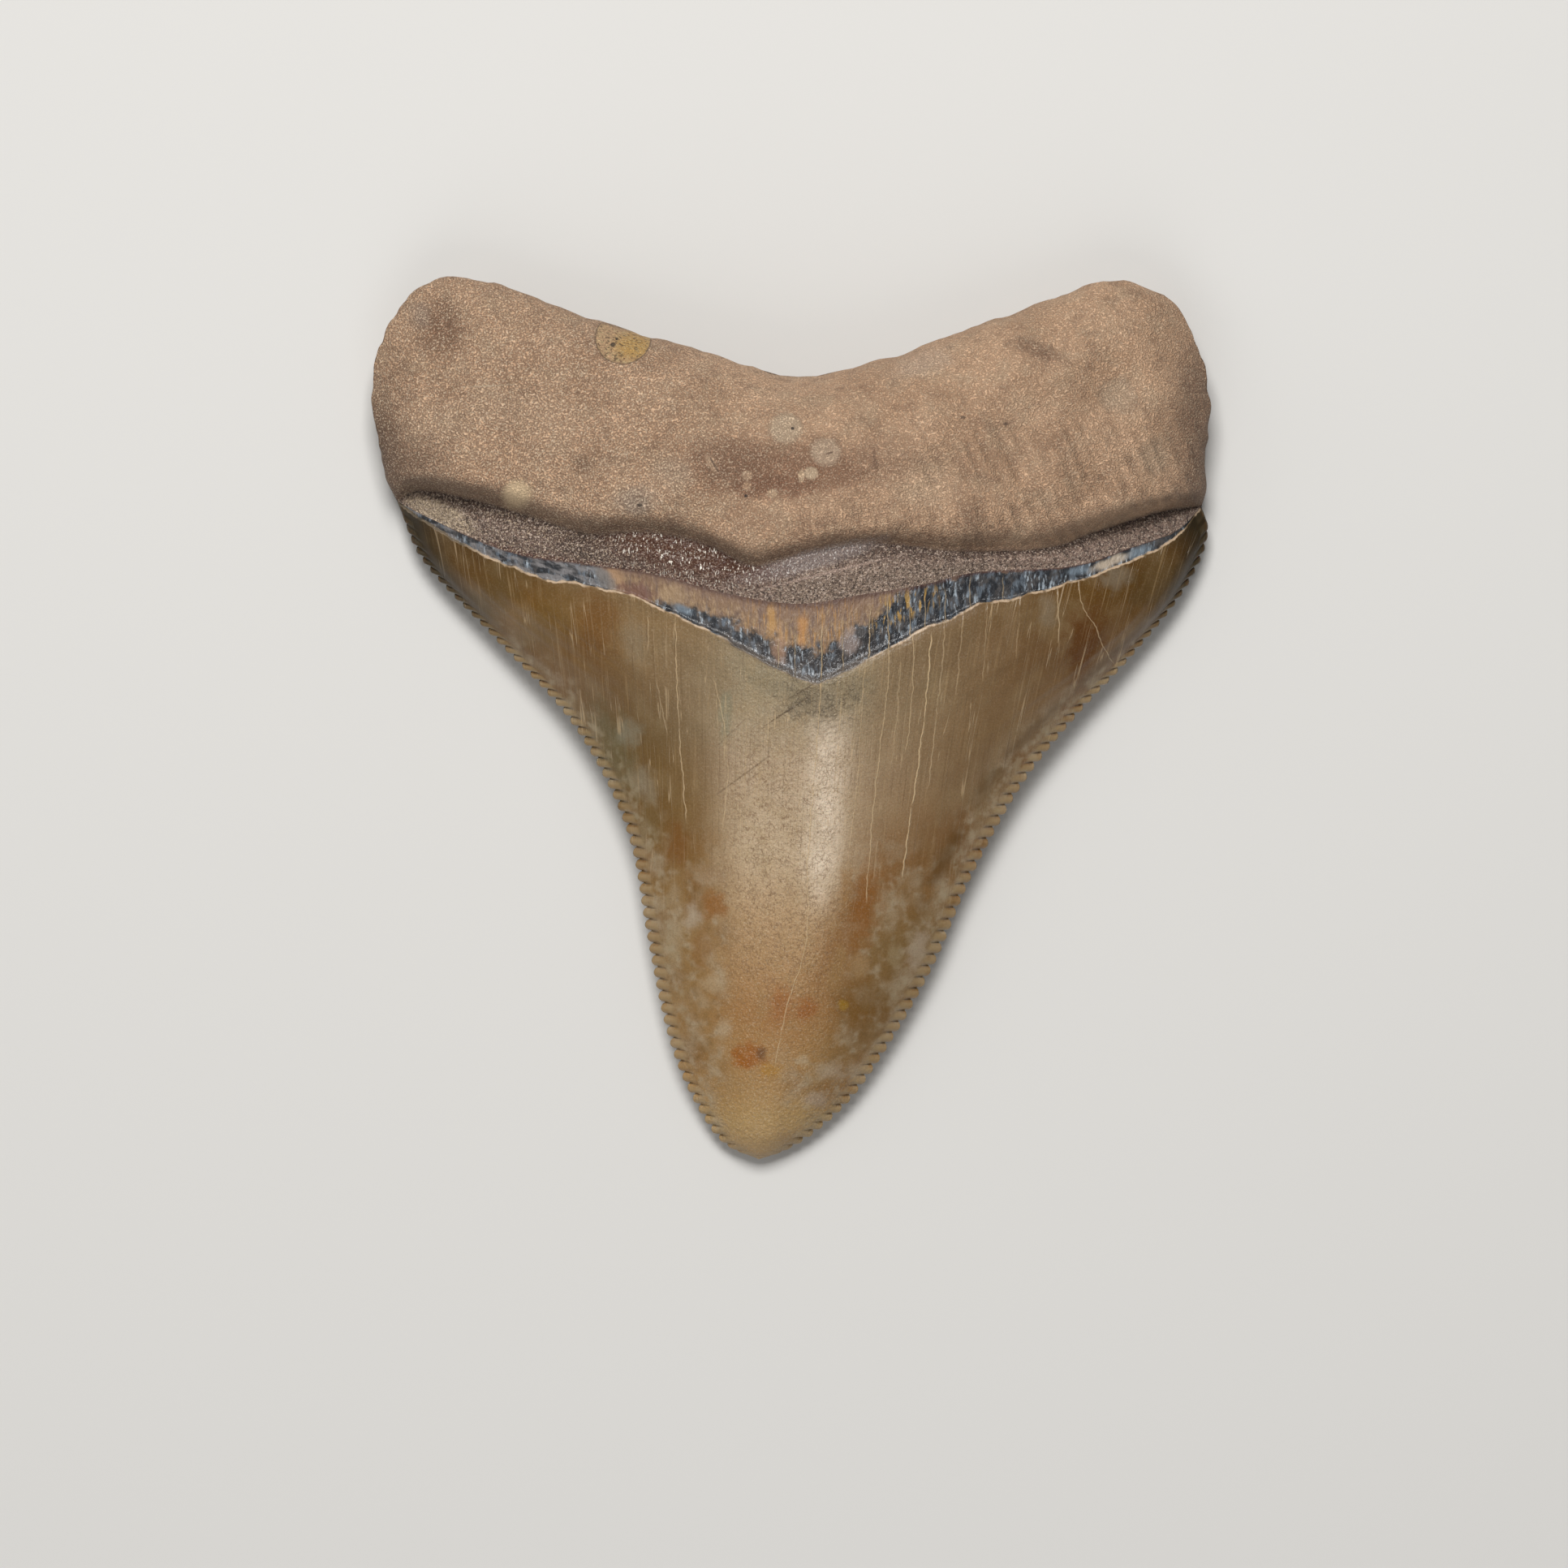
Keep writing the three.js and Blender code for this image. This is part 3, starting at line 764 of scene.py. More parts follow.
class Skin:
    """A material in the making: places on the tooth and layers of colour, one over the other."""

    def __init__(self, name: str) -> None:
        """Starts the material and finds the places that its layers read.

        Args:
            name: the material's name.
        """
        self.material = bpy.data.materials.new(name)
        self.material.use_nodes = True
        self.tree = self.material.node_tree
        self.tree.nodes.clear()
        object_place = put(self.tree, "TexCoord", out="Object")
        self.place = put(self.tree, "Mapping", {"Vector": object_place, "Scale": (1 / MM,) * 3})
        self.x = put(self.tree, "SeparateXYZ", {0: self.place}, out=0)
        self.y = put(self.tree, "SeparateXYZ", {0: self.place}, out=1)
        growth_map = put(self.tree, "UVMap", uv_map=ToothSkinMesh.growth_map)
        self.across = put(self.tree, "SeparateXYZ", {0: growth_map}, out=0)
        self.growth = put(self.tree, "SeparateXYZ", {0: growth_map}, out=1)
        self.rim = put(self.tree, "Attribute", out="Fac", attribute_name=ToothSkinMesh.rim_map)
        self.broken = put(self.tree, "Attribute", out="Fac", attribute_name=ToothSkinMesh.broken_map)
        self.colour: Socket | None = None

    def grain(self, size: float, low: float, high: float, detail: float = 2.0,
              stretch: tuple[float, float] = (1, 1), seed: float = 0.0, turn: float = 0.0) -> Socket:
        """A natural pattern as a mask.

        Args:
            size: the size of its lumps in millimetres.
            low: the noise value that gives 0.
            high: the noise value that gives 1.
            detail: how much finer grain it carries.
            stretch: how much longer than wide its lumps are, across and along the tooth.
            seed: a shift that gives another pattern.
            turn: how far the pattern is turned, in degrees.

        Returns:
            The mask.
        """
        settings = {"Vector": self.place, "Location": (seed * 17, seed * 31, seed * 7)}
        settings |= {"Rotation": (0, 0, math.radians(turn)), "Scale": (*stretch, 1)}
        shifted = put(self.tree, "Mapping", settings, vector_type="TEXTURE")
        lumps = {"Vector": shifted, "Scale": 1 / size, "Detail": detail, "Roughness": 0.55}
        value = put(self.tree, "TexNoise", lumps)
        return self.zone(value, low, high)

    def zone(self, value: Socket, start: float, stop: float, ragged: float = 0.0,
             size: float = 1.0) -> Socket:
        """A mask that rises from 0 to 1 as value goes from start to stop, with a ragged border.

        Args:
            value: what is compared.
            start: the value that gives 0.
            stop: the value that gives 1.
            ragged: how far the border strays, in units of value.
            size: the size in millimetres of the border's lumps.

        Returns:
            The mask.
        """
        if ragged:
            stray = put(self.tree, "TexNoise", {"Vector": self.place, "Scale": 1 / size, "Detail": 2})
            off_centre = put(self.tree, "Math", {0: stray, 1: 0.5}, operation="SUBTRACT")
            moved = {0: off_centre, 1: 2 * ragged, 2: value}
            value = put(self.tree, "Math", moved, operation="MULTIPLY_ADD")
        limits = {"Value": value, "From Min": start, "From Max": stop}
        return put(self.tree, "MapRange", limits, interpolation_type="SMOOTHSTEP")

    def window(self, value: Socket, low: float, high: float, soft: float) -> Socket:
        """A mask that is 1 between low and high, with soft borders.

        Args:
            value: what is compared.
            low: the lower border.
            high: the upper one.
            soft: half the width of each border.

        Returns:
            The mask.
        """
        rise = self.zone(value, low - soft, low + soft)
        fall = self.zone(value, high + soft, high - soft)
        return self.both(rise, fall)

    def both(self, *masks: Socket | float) -> Socket:
        """The product of masks.

        Args:
            *masks: outputs or plain numbers.

        Returns:
            A mask that is 1 where all of them are.
        """
        result = masks[0]
        for mask in masks[1:]:
            result = put(self.tree, "Math", {0: result, 1: mask}, operation="MULTIPLY")
        return result

    def spot(self, spot: Spot, ragged: float = 0.25) -> Socket:
        """A mask of one patch with an uneven border.

        Args:
            spot: the patch.
            ragged: how far its border strays, as a share of its size.

        Returns:
            The mask.
        """
        settings = {"Vector": self.place, "Location": (spot.x, spot.y, 0)}
        settings |= {"Rotation": (0, 0, math.radians(spot.turn)), "Scale": (spot.wide, spot.high, 1e3)}
        near = put(self.tree, "Mapping", settings, vector_type="TEXTURE")
        away = put(self.tree, "VectorMath", {0: near}, out="Value", operation="LENGTH")
        return self.zone(away, 1 + spot.soft / 2, 1 - spot.soft / 2, ragged, 0.9)

    def layer(self, colour: str | Socket, strength: float = 1.0, *masks: Socket) -> None:
        """Lays a colour over those laid before.

        Args:
            colour: an sRGB hex colour, or the output that gives one.
            strength: how much of it covers what lies under it.
            *masks: where it is laid. It is laid where all of them are.
        """
        paint = linear(colour) if isinstance(colour, str) else colour
        if self.colour is None:
            self.colour = put(self.tree, "Mix", {0: 1.0, 7: paint}, out=2, data_type="RGBA")
            return
        amount = self.both(*masks, strength)
        inputs = {0: amount, 6: self.colour, 7: paint}
        self.colour = put(self.tree, "Mix", inputs, out=2, data_type="RGBA")

    def spots(self, spots: tuple[Spot, ...], ragged: float = 0.25) -> None:
        """Lays each patch in its own colour."""
        for spot in spots:
            self.layer(spot.colour, spot.strength, self.spot(spot, ragged))

    def cracks(self, cracks: tuple["Crack", ...]) -> Socket:
        """A mask of hairline cracks, broken here and there.

        Args:
            cracks: the cracks.

        Returns:
            The mask.
        """
        union, *others = (self.crack(crack) for crack in cracks)
        for other in others:
            union = put(self.tree, "Math", {0: union, 1: other}, operation="MAXIMUM")
        return self.both(union, self.grain(1.3, 0.26, 0.44, 2, (0.6, 1.5), seed=41))

    def crack(self, crack: "Crack") -> Socket:
        """A mask of one hairline crack.

        Args:
            crack: the crack.

        Returns:
            The mask.
        """
        reach = 72  # the curve's 0 and 1 stand for -36 and 36 mm
        stray_by = 0.4
        low, high = min(y for _, y in crack.points), max(y for _, y in crack.points)
        climbing = sorted(crack.points, key=lambda point: point[1])
        path = tuple((y / reach + 0.5, x / reach + 0.5) for x, y in climbing)
        share = put(self.tree, "Math", {0: self.y, 1: 1 / reach, 2: 0.5}, operation="MULTIPLY_ADD")
        line = put(self.tree, "FloatCurve", {"Value": share}, points=path)
        stray = put(self.tree, "TexNoise", {"Vector": self.place, "Scale": 0.9, "Detail": 2})
        strayed = {0: stray, 1: stray_by / reach, 2: line}
        wander = put(self.tree, "Math", strayed, operation="MULTIPLY_ADD")
        beside = put(self.tree, "Math", {0: wander, 1: -reach, 2: self.x}, operation="MULTIPLY_ADD")
        centred = put(self.tree, "Math", {0: beside, 1: reach / 2 + stray_by / 2}, operation="ADD")
        away = put(self.tree, "Math", {0: centred}, operation="ABSOLUTE")
        line_mask = self.zone(away, crack.width, crack.width * 0.3)
        return self.both(line_mask, self.window(self.y, low, high, 0.6), crack.strength)

    def finish(self, roughness: Socket | float, relief: Socket, relief_depth: float, ior: float,
               subsurface: float = 0.0, coat: float = 0.0, specular: float = 0.5) -> bpy.types.Material:
        """Joins the layers to the surface.

        Args:
            roughness: of the surface.
            relief: the fine relief as heights from 0 to 1.
            relief_depth: how deep it is, in millimetres.
            ior: of the mineral.
            subsurface: how much light goes in and comes out again.
            coat: how much clear polish lies over it.
            specular: how strongly it mirrors, where 0.5 is what its ior gives.

        Returns:
            The finished material.
        """
        bump = put(self.tree, "Bump", {"Height": relief, "Distance": relief_depth * MM, "Strength": 1.0})
        inputs = {"Base Color": self.colour, "Roughness": roughness, "Normal": bump, "IOR": ior}
        inputs |= {"Subsurface Weight": subsurface, "Subsurface Radius": (1.0, 0.55, 0.3)}
        inputs |= {"Subsurface Scale": 1.2 * MM, "Coat Weight": coat, "Coat Roughness": 0.25}
        inputs |= {"Specular IOR Level": specular}
        shader = put(self.tree, "BsdfPrincipled", inputs)
        put(self.tree, "OutputMaterial", {"Surface": shader}, out=None)
        return self.material


@dataclass(frozen=True)
class Crack:
    """A hairline crack along the tooth, in millimetres, from its upper end down."""

    points: Points
    strength: float = 1.0
    width: float = 0.07


class ToothSkinMesh:
    """The tooth's skin as one closed mesh, divided finely and shaped by the form."""

    growth_map = "growth"
    rim_map = "rim"
    broken_map = "broken"
    gather = 0.7  # how much the columns crowd towards the cutting edges
    root_gather = 0.75  # and the root's rows towards its outline
    step_gather = 1.5  # and the band's rows towards the enamel's step
    flat_seam = 1e-5  # how near the flat sheets' vertices are that become one
    seam = 2e-6  # and the shaped skin's, in metres
    broken_reach = 3.0  # how far from the enamel's broken edge its map goes, in millimetres
    sheets = (
        Sheet(Zone.CROWN, 150, 256, edge_columns=12, edge_cuts=1),
        Sheet(Zone.BAND, 150, 14),
        Sheet(Zone.NECK, 150, 20),
        Sheet(Zone.ROOT, 150, 60),
        Sheet(Zone.FLAT_CROWN, 75, 128, edge_columns=8, edge_cuts=3),
        Sheet(Zone.FLAT_ROOT, 75, 60, top_cuts=1),
    )

    def __init__(self, form: ToothForm) -> None:
        """Keeps the form that shapes it."""
        self.form = form

    def lay(self, bm: bmesh.types.BMesh, sheet: Sheet) -> None:
        """Lays one zone out flat: x is the share across and y is its place in the growth map.

        Args:
            bm: the mesh that it is laid in.
            sheet: the zone and how finely it is divided.
        """
        made = bmesh.ops.create_grid(bm, x_segments=sheet.columns, y_segments=sheet.rows, size=0.5)
        verts = made["verts"]
        for vert in verts:
            vert.co.x += 0.5
            vert.co.y += 0.5 + sheet.zone.value
        edges = {edge for vert in verts for edge in vert.link_edges}
        middle = 0.5 - (sheet.edge_columns + 0.5) / sheet.columns
        upright = [edge for edge in edges if edge.verts[0].co.x == edge.verts[1].co.x]
        tall = [edge for edge in upright if abs(edge.verts[0].co.x - 0.5) > middle]
        if sheet.edge_cuts:
            bmesh.ops.subdivide_edges(bm, edges=tall, cuts=sheet.edge_cuts, use_grid_fill=True)
        top = sheet.zone.value + 1 - 1e-4
        if sheet.top_cuts:
            wide = [edge for edge in edges if all(vert.co.y > top for vert in edge.verts)]
            bmesh.ops.subdivide_edges(bm, edges=wide, cuts=sheet.top_cuts, use_grid_fill=True)

    def warp(self, flat: np.ndarray) -> np.ndarray:
        """Gathers the columns and rows of the flat sheets where the tooth turns most.

        Args:
            flat: the vertices' places on the flat sheets.

        Returns:
            Their places in the growth map.
        """
        u, w = flat.T
        a = mix(u, 0.5 - 0.5 * np.cos(np.pi * u), self.gather)
        start = np.floor(w)
        row = w - start
        in_root = np.isin(start, (Zone.ROOT.value, Zone.FLAT_ROOT.value))
        row = np.where(in_root, mix(row, np.sin(np.pi / 2 * row), self.root_gather), row)
        row = np.where(start == Zone.BAND.value, row**self.step_gather, row)
        return np.column_stack([a, start + row])

    def shape(self, grown: np.ndarray) -> np.ndarray:
        """The places in millimetres of points of the growth map.

        Args:
            grown: the points, a row each.

        Returns:
            The places (x, y, z).
        """
        a, growth = grown.T
        places = np.zeros((len(a), 3))
        makers = (
            (Zone.CROWN, self.form.crown_domed), (Zone.BAND, self.form.band_domed),
            (Zone.NECK, self.form.neck_domed), (Zone.ROOT, self.form.root_domed),
            (Zone.FLAT_CROWN, self.form.crown_flat), (Zone.FLAT_ROOT, self.form.root_flat),
        )
        for zone, maker in makers:
            share = growth - zone.value
            first = zone in (Zone.CROWN, Zone.FLAT_CROWN)
            inside = (share <= 1) & ((share >= 0) if first else (share > 0))
            places[inside] = maker(a[inside], share[inside])
        domed_root = (growth > Zone.ROOT.value) & (growth <= Zone.ROOT.value + 1)
        root = domed_root | (growth > Zone.FLAT_ROOT.value)
        worn = places[root]
        self.form.weather_rim(worn)
        places[root] = worn
        return places

    def inside_rim(self, grown: np.ndarray, places: np.ndarray) -> np.ndarray:
        """How far points are inside the cutting edges or the root's outline, in millimetres.

        Args:
            grown: their places in the growth map.
            places: their places on the tooth.

        Returns:
            The distances.
        """
        a, growth = grown.T
        flat = growth >= Zone.FLAT_CROWN.value
        share = np.where(flat, growth - Zone.FLAT_CROWN.value, growth)
        crown = share <= 1
        distance = self.form.inside_outline(places[:, :2])
        distance[crown] = self.form.inside_edges(a[crown], np.clip(share[crown], 0, 1))
        return distance

    def off_broken_edge(self, grown: np.ndarray, places: np.ndarray) -> np.ndarray:
        """How far points are from the enamel's broken edge, in millimetres, up to the map's reach.

        Args:
            grown: their places in the growth map.
            places: their places on the tooth.

        Returns:
            The distances.
        """
        line = self.form.ragged_enamel(np.linspace(0, 1, 1500))
        near = (grown[:, 1] > 0.8) & (grown[:, 1] < Zone.NECK.value)
        distance = np.full(len(places), self.broken_reach)
        distance[near] = np.minimum(nearest(places[near, :2], line), self.broken_reach)
        return distance

    def build(self, name: str, materials: dict[Zone, bpy.types.Material]) -> bpy.types.Object:
        """Builds the mesh and dresses each zone.

        Args:
            name: the piece's name.
            materials: the finish of each zone.

        Returns:
            The finished piece.
        """
        bm = bmesh.new()
        for sheet in self.sheets:
            self.lay(bm, sheet)
        bmesh.ops.remove_doubles(bm, verts=bm.verts, dist=self.flat_seam)
        grown = self.warp(np.array([vert.co[:2] for vert in bm.verts]))
        bm.verts.index_update()
        growth_layer = bm.loops.layers.uv.new(self.growth_map)
        used = list(dict.fromkeys(materials.values()))
        for face in bm.faces:
            height = face.calc_center_median().y
            zone = max((zone for zone in Zone if zone.value <= height), key=lambda zone: zone.value)
            face.material_index = used.index(materials[zone])
            face.smooth = True
            for loop in face.loops:
                loop[growth_layer].uv = grown[loop.vert.index]
        places = self.shape(grown)
        held = np.clip(places * MM, np.array(CAD_BOX[0]), np.array(CAD_BOX[1]))
        for vert, place in zip(bm.verts, held.tolist()):
            vert.co = place
        maps = {self.rim_map: self.inside_rim, self.broken_map: self.off_broken_edge}
        for map_name, measure in maps.items():
            layer = bm.verts.layers.float.new(map_name)
            for vert, distance in zip(bm.verts, measure(grown, places).tolist()):
                vert[layer] = distance
        bmesh.ops.remove_doubles(bm, verts=bm.verts, dist=self.seam)
        bmesh.ops.dissolve_degenerate(bm, dist=1e-8, edges=bm.edges)
        bmesh.ops.recalc_face_normals(bm, faces=bm.faces)
        open_edges = sum(not edge.is_manifold for edge in bm.edges)
        mesh = bpy.data.meshes.new(name)
        bm.to_mesh(mesh)
        bm.free()
        for material in used:
            mesh.materials.append(material)
        piece = bpy.data.objects.new(name, mesh)
        bpy.context.scene.collection.objects.link(piece)
        mesh.calc_loop_triangles()
        log.info("%s: %d triangles, %d open edges", name, len(mesh.loop_triangles), open_edges)
        return piece


@dataclass
class CrownEnamel:
    """Fossil enamel, a glassy apatite that grew on the crown. It is amber and see-through at its thin
    sides, cream over its thick middle, and polished by sand and handling to a satin gloss. The sides
    carry painted shade, darkest at the wings, and the middle a painted highlight."""

    ior: float = 1.63
    roughness_sides: float = 0.3
    roughness_middle: float = 0.46
    # Partly painted shade: the colours darken where the thin sides tilt away from the light, most at the
    # wings.
    left_side: tuple[tuple[float, str], ...] = (
        (0.0, "#92703c"), (0.1, "#8f6f44"), (0.22, "#8e6d42"), (0.35, "#896b41"), (0.485, "#7b5a2c"),
        (0.56, "#6f5328"), (0.656, "#6b5330"), (0.733, "#745733"), (0.82, "#785524"), (0.905, "#583d14"),
        (1.0, "#2e1f06"),
    )
    # Painted shade here as well, darkest at the right wing.
    right_side: tuple[tuple[float, str], ...] = (
        (0.0, "#8a6c44"), (0.15, "#816640"), (0.223, "#7c592c"), (0.332, "#7f643c"), (0.433, "#7b552a"),
        (0.58, "#83694a"), (0.656, "#7f6443"), (0.78, "#6d4f2e"), (0.866, "#593c10"), (1.0, "#2a1800"),
    )
    middle: tuple[tuple[float, str], ...] = (
        (0.0, "#aa8b60"), (0.06, "#a98956"), (0.11, "#9e7a48"), (0.22, "#976b38"), (0.3, "#a27e53"),
        (0.37, "#ad8d66"), (0.47, "#baa384"), (0.6, "#b19a7e"), (0.72, "#998a6e"), (1.0, "#8c7b60"),
    )
    fan_spread: float = 0.008  # how much more the growth lines lean for each mm beside the middle
    fan_lean: float = 0.05
    fan_start: float = 3.0
    # Painted highlight: a soft lamp reflection along the crown's middle ridge.
    painted_highlight_stripe: str = "#dbc8b0"
    stria: str = "#a98e68"
    crack_line: str = "#c8ad86"
    mottle: str = "#a8997f"
    amber: str = "#6f4717"
    # Partly painted highlight: the beads are drawn paler on their tops.
    bead: str = "#957f5c"
    # Painted shade in the notches between the beads.
    painted_notch_shade: str = "#4b3717"
    spots: tuple[Spot, ...] = (
        Spot(-15.5, 7.5, 1.6, 2.8, "#6b4417", 0.6, 1.3),
        Spot(-12.4, 6.0, 0.9, 1.9, "#84735a", 0.6, 1.3, 10),
        Spot(-19.5, 7.6, 2.4, 1.6, "#6a5024", 0.5, 1.3, 40),
        Spot(-24, 9.5, 2.6, 1.5, "#5c4a2a", 0.5, 1.3, 40),
        Spot(-14.2, -2.5, 1.3, 3.2, "#5f5a3e", 0.55, 1.4, 20),
        Spot(-12.9, -1.3, 0.9, 1.0, "#8b8571", 0.5, 1.3),
        Spot(-11.6, -5.3, 0.7, 1.5, "#8c806a", 0.5, 1.4, 20),
        Spot(-11.4, -8.3, 1.0, 1.6, "#6d5a34", 0.5, 1.3),
        Spot(-9.1, -10.2, 0.8, 1.6, "#734816", 0.7, 1.3),
        Spot(-6.2, -14.9, 0.9, 1.1, "#85541c", 0.8, 1.2),
        Spot(-7.1, -18.2, 0.8, 1.5, "#805827", 0.6, 1.2),
        Spot(-7.8, -15.8, 0.6, 0.9, "#aa9b86", 0.6, 1.5),
        Spot(-6.3, -12.5, 1.6, 0.8, "#957b5d", 0.6, 1.3),
        Spot(-6.1, -21.1, 1.0, 0.7, "#a89272", 0.6, 1.2),
        Spot(-5.4, -24.9, 0.5, 0.6, "#ac997c", 0.5, 1.5),
        Spot(-9.6, -18.4, 0.8, 1.6, "#9d8c6f", 0.5, 1.4),
        Spot(4.4, -17.2, 1.5, 5.0, "#7d4f1a", 0.7, 1.7, -24),
        Spot(5.8, -15.2, 0.9, 2.6, "#7f4b12", 0.5, 1.5, -8),
        Spot(4.4, -13.2, 0.5, 1.6, "#8d6636", 0.5, 1.2, -5),
        Spot(-0.9, -22.9, 0.8, 1.5, "#8f5518", 0.7, 1.3),
        Spot(1.2, -23.2, 0.8, 1.2, "#8f5418", 0.75, 1.3),
        Spot(5, -22.6, 1.4, 1.6, "#6f4d1c", 0.45, 1.3),
        Spot(5.4, -19.8, 0.7, 0.9, "#977a54", 0.7, 1.3),
        Spot(3.6, -20, 0.6, 1.6, "#94764a", 0.5, 1.3, -10),
        Spot(23.3, 6.0, 1.3, 2.6, "#573002", 0.85, 1.1, -12),
        Spot(20.4, 8.6, 0.7, 1.3, "#7b6b55", 0.65, 1.2),
        Spot(17.4, 7.4, 0.6, 1.6, "#80684a", 0.5, 1.3),
        Spot(26, 11.2, 1.2, 0.9, "#7c7261", 0.5, 1.2, 20),
        Spot(29.2, 10.8, 2.4, 1.8, "#4c3714", 0.6, 1.2, 30),
        Spot(10.1, -18.4, 0.7, 1.5, "#a08e78", 0.7, 1.2, -20),
        Spot(8.3, -19.0, 0.6, 0.8, "#93805f", 0.6, 1.2),
        Spot(7.0, -22.8, 1.2, 1.6, "#6d4d1d", 0.5, 1.3),
        Spot(3.1, -28.2, 0.9, 0.7, "#a08c74", 0.6, 1.2),
        Spot(2.0, -30.5, 0.9, 0.6, "#a4907a", 0.65, 1.2),
        Spot(5.4, -28.6, 0.8, 0.8, "#9d8a70", 0.55, 1.2),
        Spot(0.9, -27.3, 0.5, 0.5, "#a8906e", 0.6, 1.2),
        Spot(1.5, 1.2, 1.8, 1.3, "#63563f", 0.6, 1.4),
        Spot(4.2, 2.0, 1.8, 1.2, "#7c705a", 0.6, 1.3, 20),
        Spot(-1.2, 2.6, 2.2, 0.8, "#83765c", 0.5, 1.2, -25),
        Spot(-5.2, 0.2, 0.5, 1.8, "#7d7a62", 0.6, 1.1),
        Spot(-0.2, 0.6, 2.4, 0.07, "#54432f", 0.8, 0.8, 33),
        Spot(-3.9, -4.6, 2.6, 0.07, "#75614a", 0.6, 0.8, 36),
        Spot(1.0, 2.2, 1.2, 0.05, "#54432f", 0.7, 0.8, 30),
        Spot(-4.6, -1.0, 1.6, 0.05, "#75614a", 0.5, 0.8, 44),
        Spot(-3.4, -27.0, 1.25, 1.0, "#8f5200", 0.95, 1.0),
        Spot(-2.4, -26.8, 0.4, 0.45, "#5f3a14", 0.8, 1.2),
        Spot(-1.6, -28.2, 0.85, 0.55, "#a07016", 0.85, 1.1),
        Spot(4.2, -22.9, 0.35, 0.35, "#94701f", 0.7, 1.1),
    )
    fissures: tuple[Crack, ...] = (
        Crack(((2.5, 5.7), (2.2, 0.4), (1.9, -3.7), (1.3, -11.5), (1.1, -18.3), (0, -21.8),
              (-0.6, -24.1), (-1.2, -27.4)), 0.65),
        Crack(((6.1, 7), (5.8, 3.7), (5.3, -4.5), (4.5, -11.2)), 0.4),
        Crack(((7.5, 8.3), (7.7, 3.7), (7.2, -1.4), (6.6, -6.6), (6, -14.5)), 0.6),
        Crack(((9.6, 6.8), (9.6, 1.7), (9.1, -2.5)), 0.6),
        Crack(((11.1, 6.5), (10.6, 0.4), (10.2, -2.9), (9.4, -8.7), (8.8, -12.9)), 1.0, 0.08),
        Crack(((12.2, 7), (11.4, -1.4), (10.9, -5.5)), 0.45), Crack(((21.2, 10.1), (21.3, 6)), 0.6),
        Crack(((22.9, 11), (23.6, 8.1), (24, 7.7), (24.8, 6), (25.7, 4.5)), 0.6),
        Crack(((-9.2, 7.9), (-8.9, -1.2), (-8.4, -7.9)), 0.7), Crack(((-10.7, 2.9), (-9.9, -1.2)), 0.4),
        Crack(((-11.4, 7.9), (-11.4, 5.4)), 0.5), Crack(((-6.1, 2.9), (-5.1, -2.9), (-5.5, -8.7)), 0.45),
        Crack(((8.5, 7.5), (8.6, 3.5), (8.0, -3.5)), 0.35), Crack(((13.6, 8), (13.1, 2)), 0.35),
        Crack(((15.6, 9), (15.2, 3)), 0.3), Crack(((18.2, 9.6), (17.9, 5)), 0.3),
    )

    def __post_init__(self) -> None:
        """Finds the parts of the crown that several layers share."""
        self.skin = skin = Skin("crown_enamel")
        tree = skin.tree
        tip, corner = ToothForm.left_edge[0][1], ToothForm.right_edge[-1][1]
        self.up = put(tree, "MapRange", {"Value": skin.y, "From Min": tip, "From Max": corner})
        leaning = {0: skin.x, 1: self.fan_spread, 2: self.fan_lean}
        lean = put(tree, "Math", leaning, operation="MULTIPLY_ADD")
        rise = put(tree, "Math", {0: skin.y, 1: -self.fan_start}, operation="ADD")
        shift = put(tree, "Math", {0: lean, 1: rise}, operation="MULTIPLY")
        self.fan = put(tree, "Math", {0: skin.x, 1: shift}, operation="SUBTRACT")
        self.domed = skin.zone(skin.growth, 2.6, 2.4)
        self.upper = skin.zone(skin.y, -22, -4)
        from_left = skin.zone(self.fan, -7.6, -2.6, 0.8, 3)
        self.core = skin.both(from_left, skin.zone(self.fan, 8.4, 2.8, 0.8, 3))
        broad = skin.both(skin.zone(skin.across, 0.14, 0.36), skin.zone(skin.across, 0.86, 0.55), 0.4)
        body = put(tree, "Math", {0: self.core, 1: 0.55, 2: broad}, operation="MULTIPLY_ADD")
        at_tip = skin.zone(skin.y, -25, -32)
        self.cream = skin.both(put(tree, "Math", {0: body, 1: at_tip}, operation="MAXIMUM"), self.domed)

    def ground(self) -> None:
        """Lays the see-through sides with their painted shade and the cream middle, brightest along a
        painted highlight.
        """
        skin, tree = self.skin, self.skin.tree
        skin.layer(put(tree, "ValToRGB", {0: self.up}, stops=self.left_side))
        right = skin.zone(skin.x, -1.5, 2.5)
        skin.layer(put(tree, "ValToRGB", {0: self.up}, stops=self.right_side), 1.0, right)
        skin.layer("#5d4322", 0.2, skin.grain(6, 0.42, 0.62, seed=1))
        skin.layer("#94805e", 0.25, skin.grain(3.5, 0.45, 0.7, seed=2))
        skin.layer(put(tree, "ValToRGB", {0: self.up}, stops=self.middle), 1.0, self.cream)
        # Painted highlight: a soft reflection of the lamp along the middle ridge.
        along = skin.window(skin.y, -14, -0.5, 3)
        skin.layer(self.painted_highlight_stripe, 0.92, skin.window(self.fan, 2.2, 4.6, 1.5), along, self.domed)

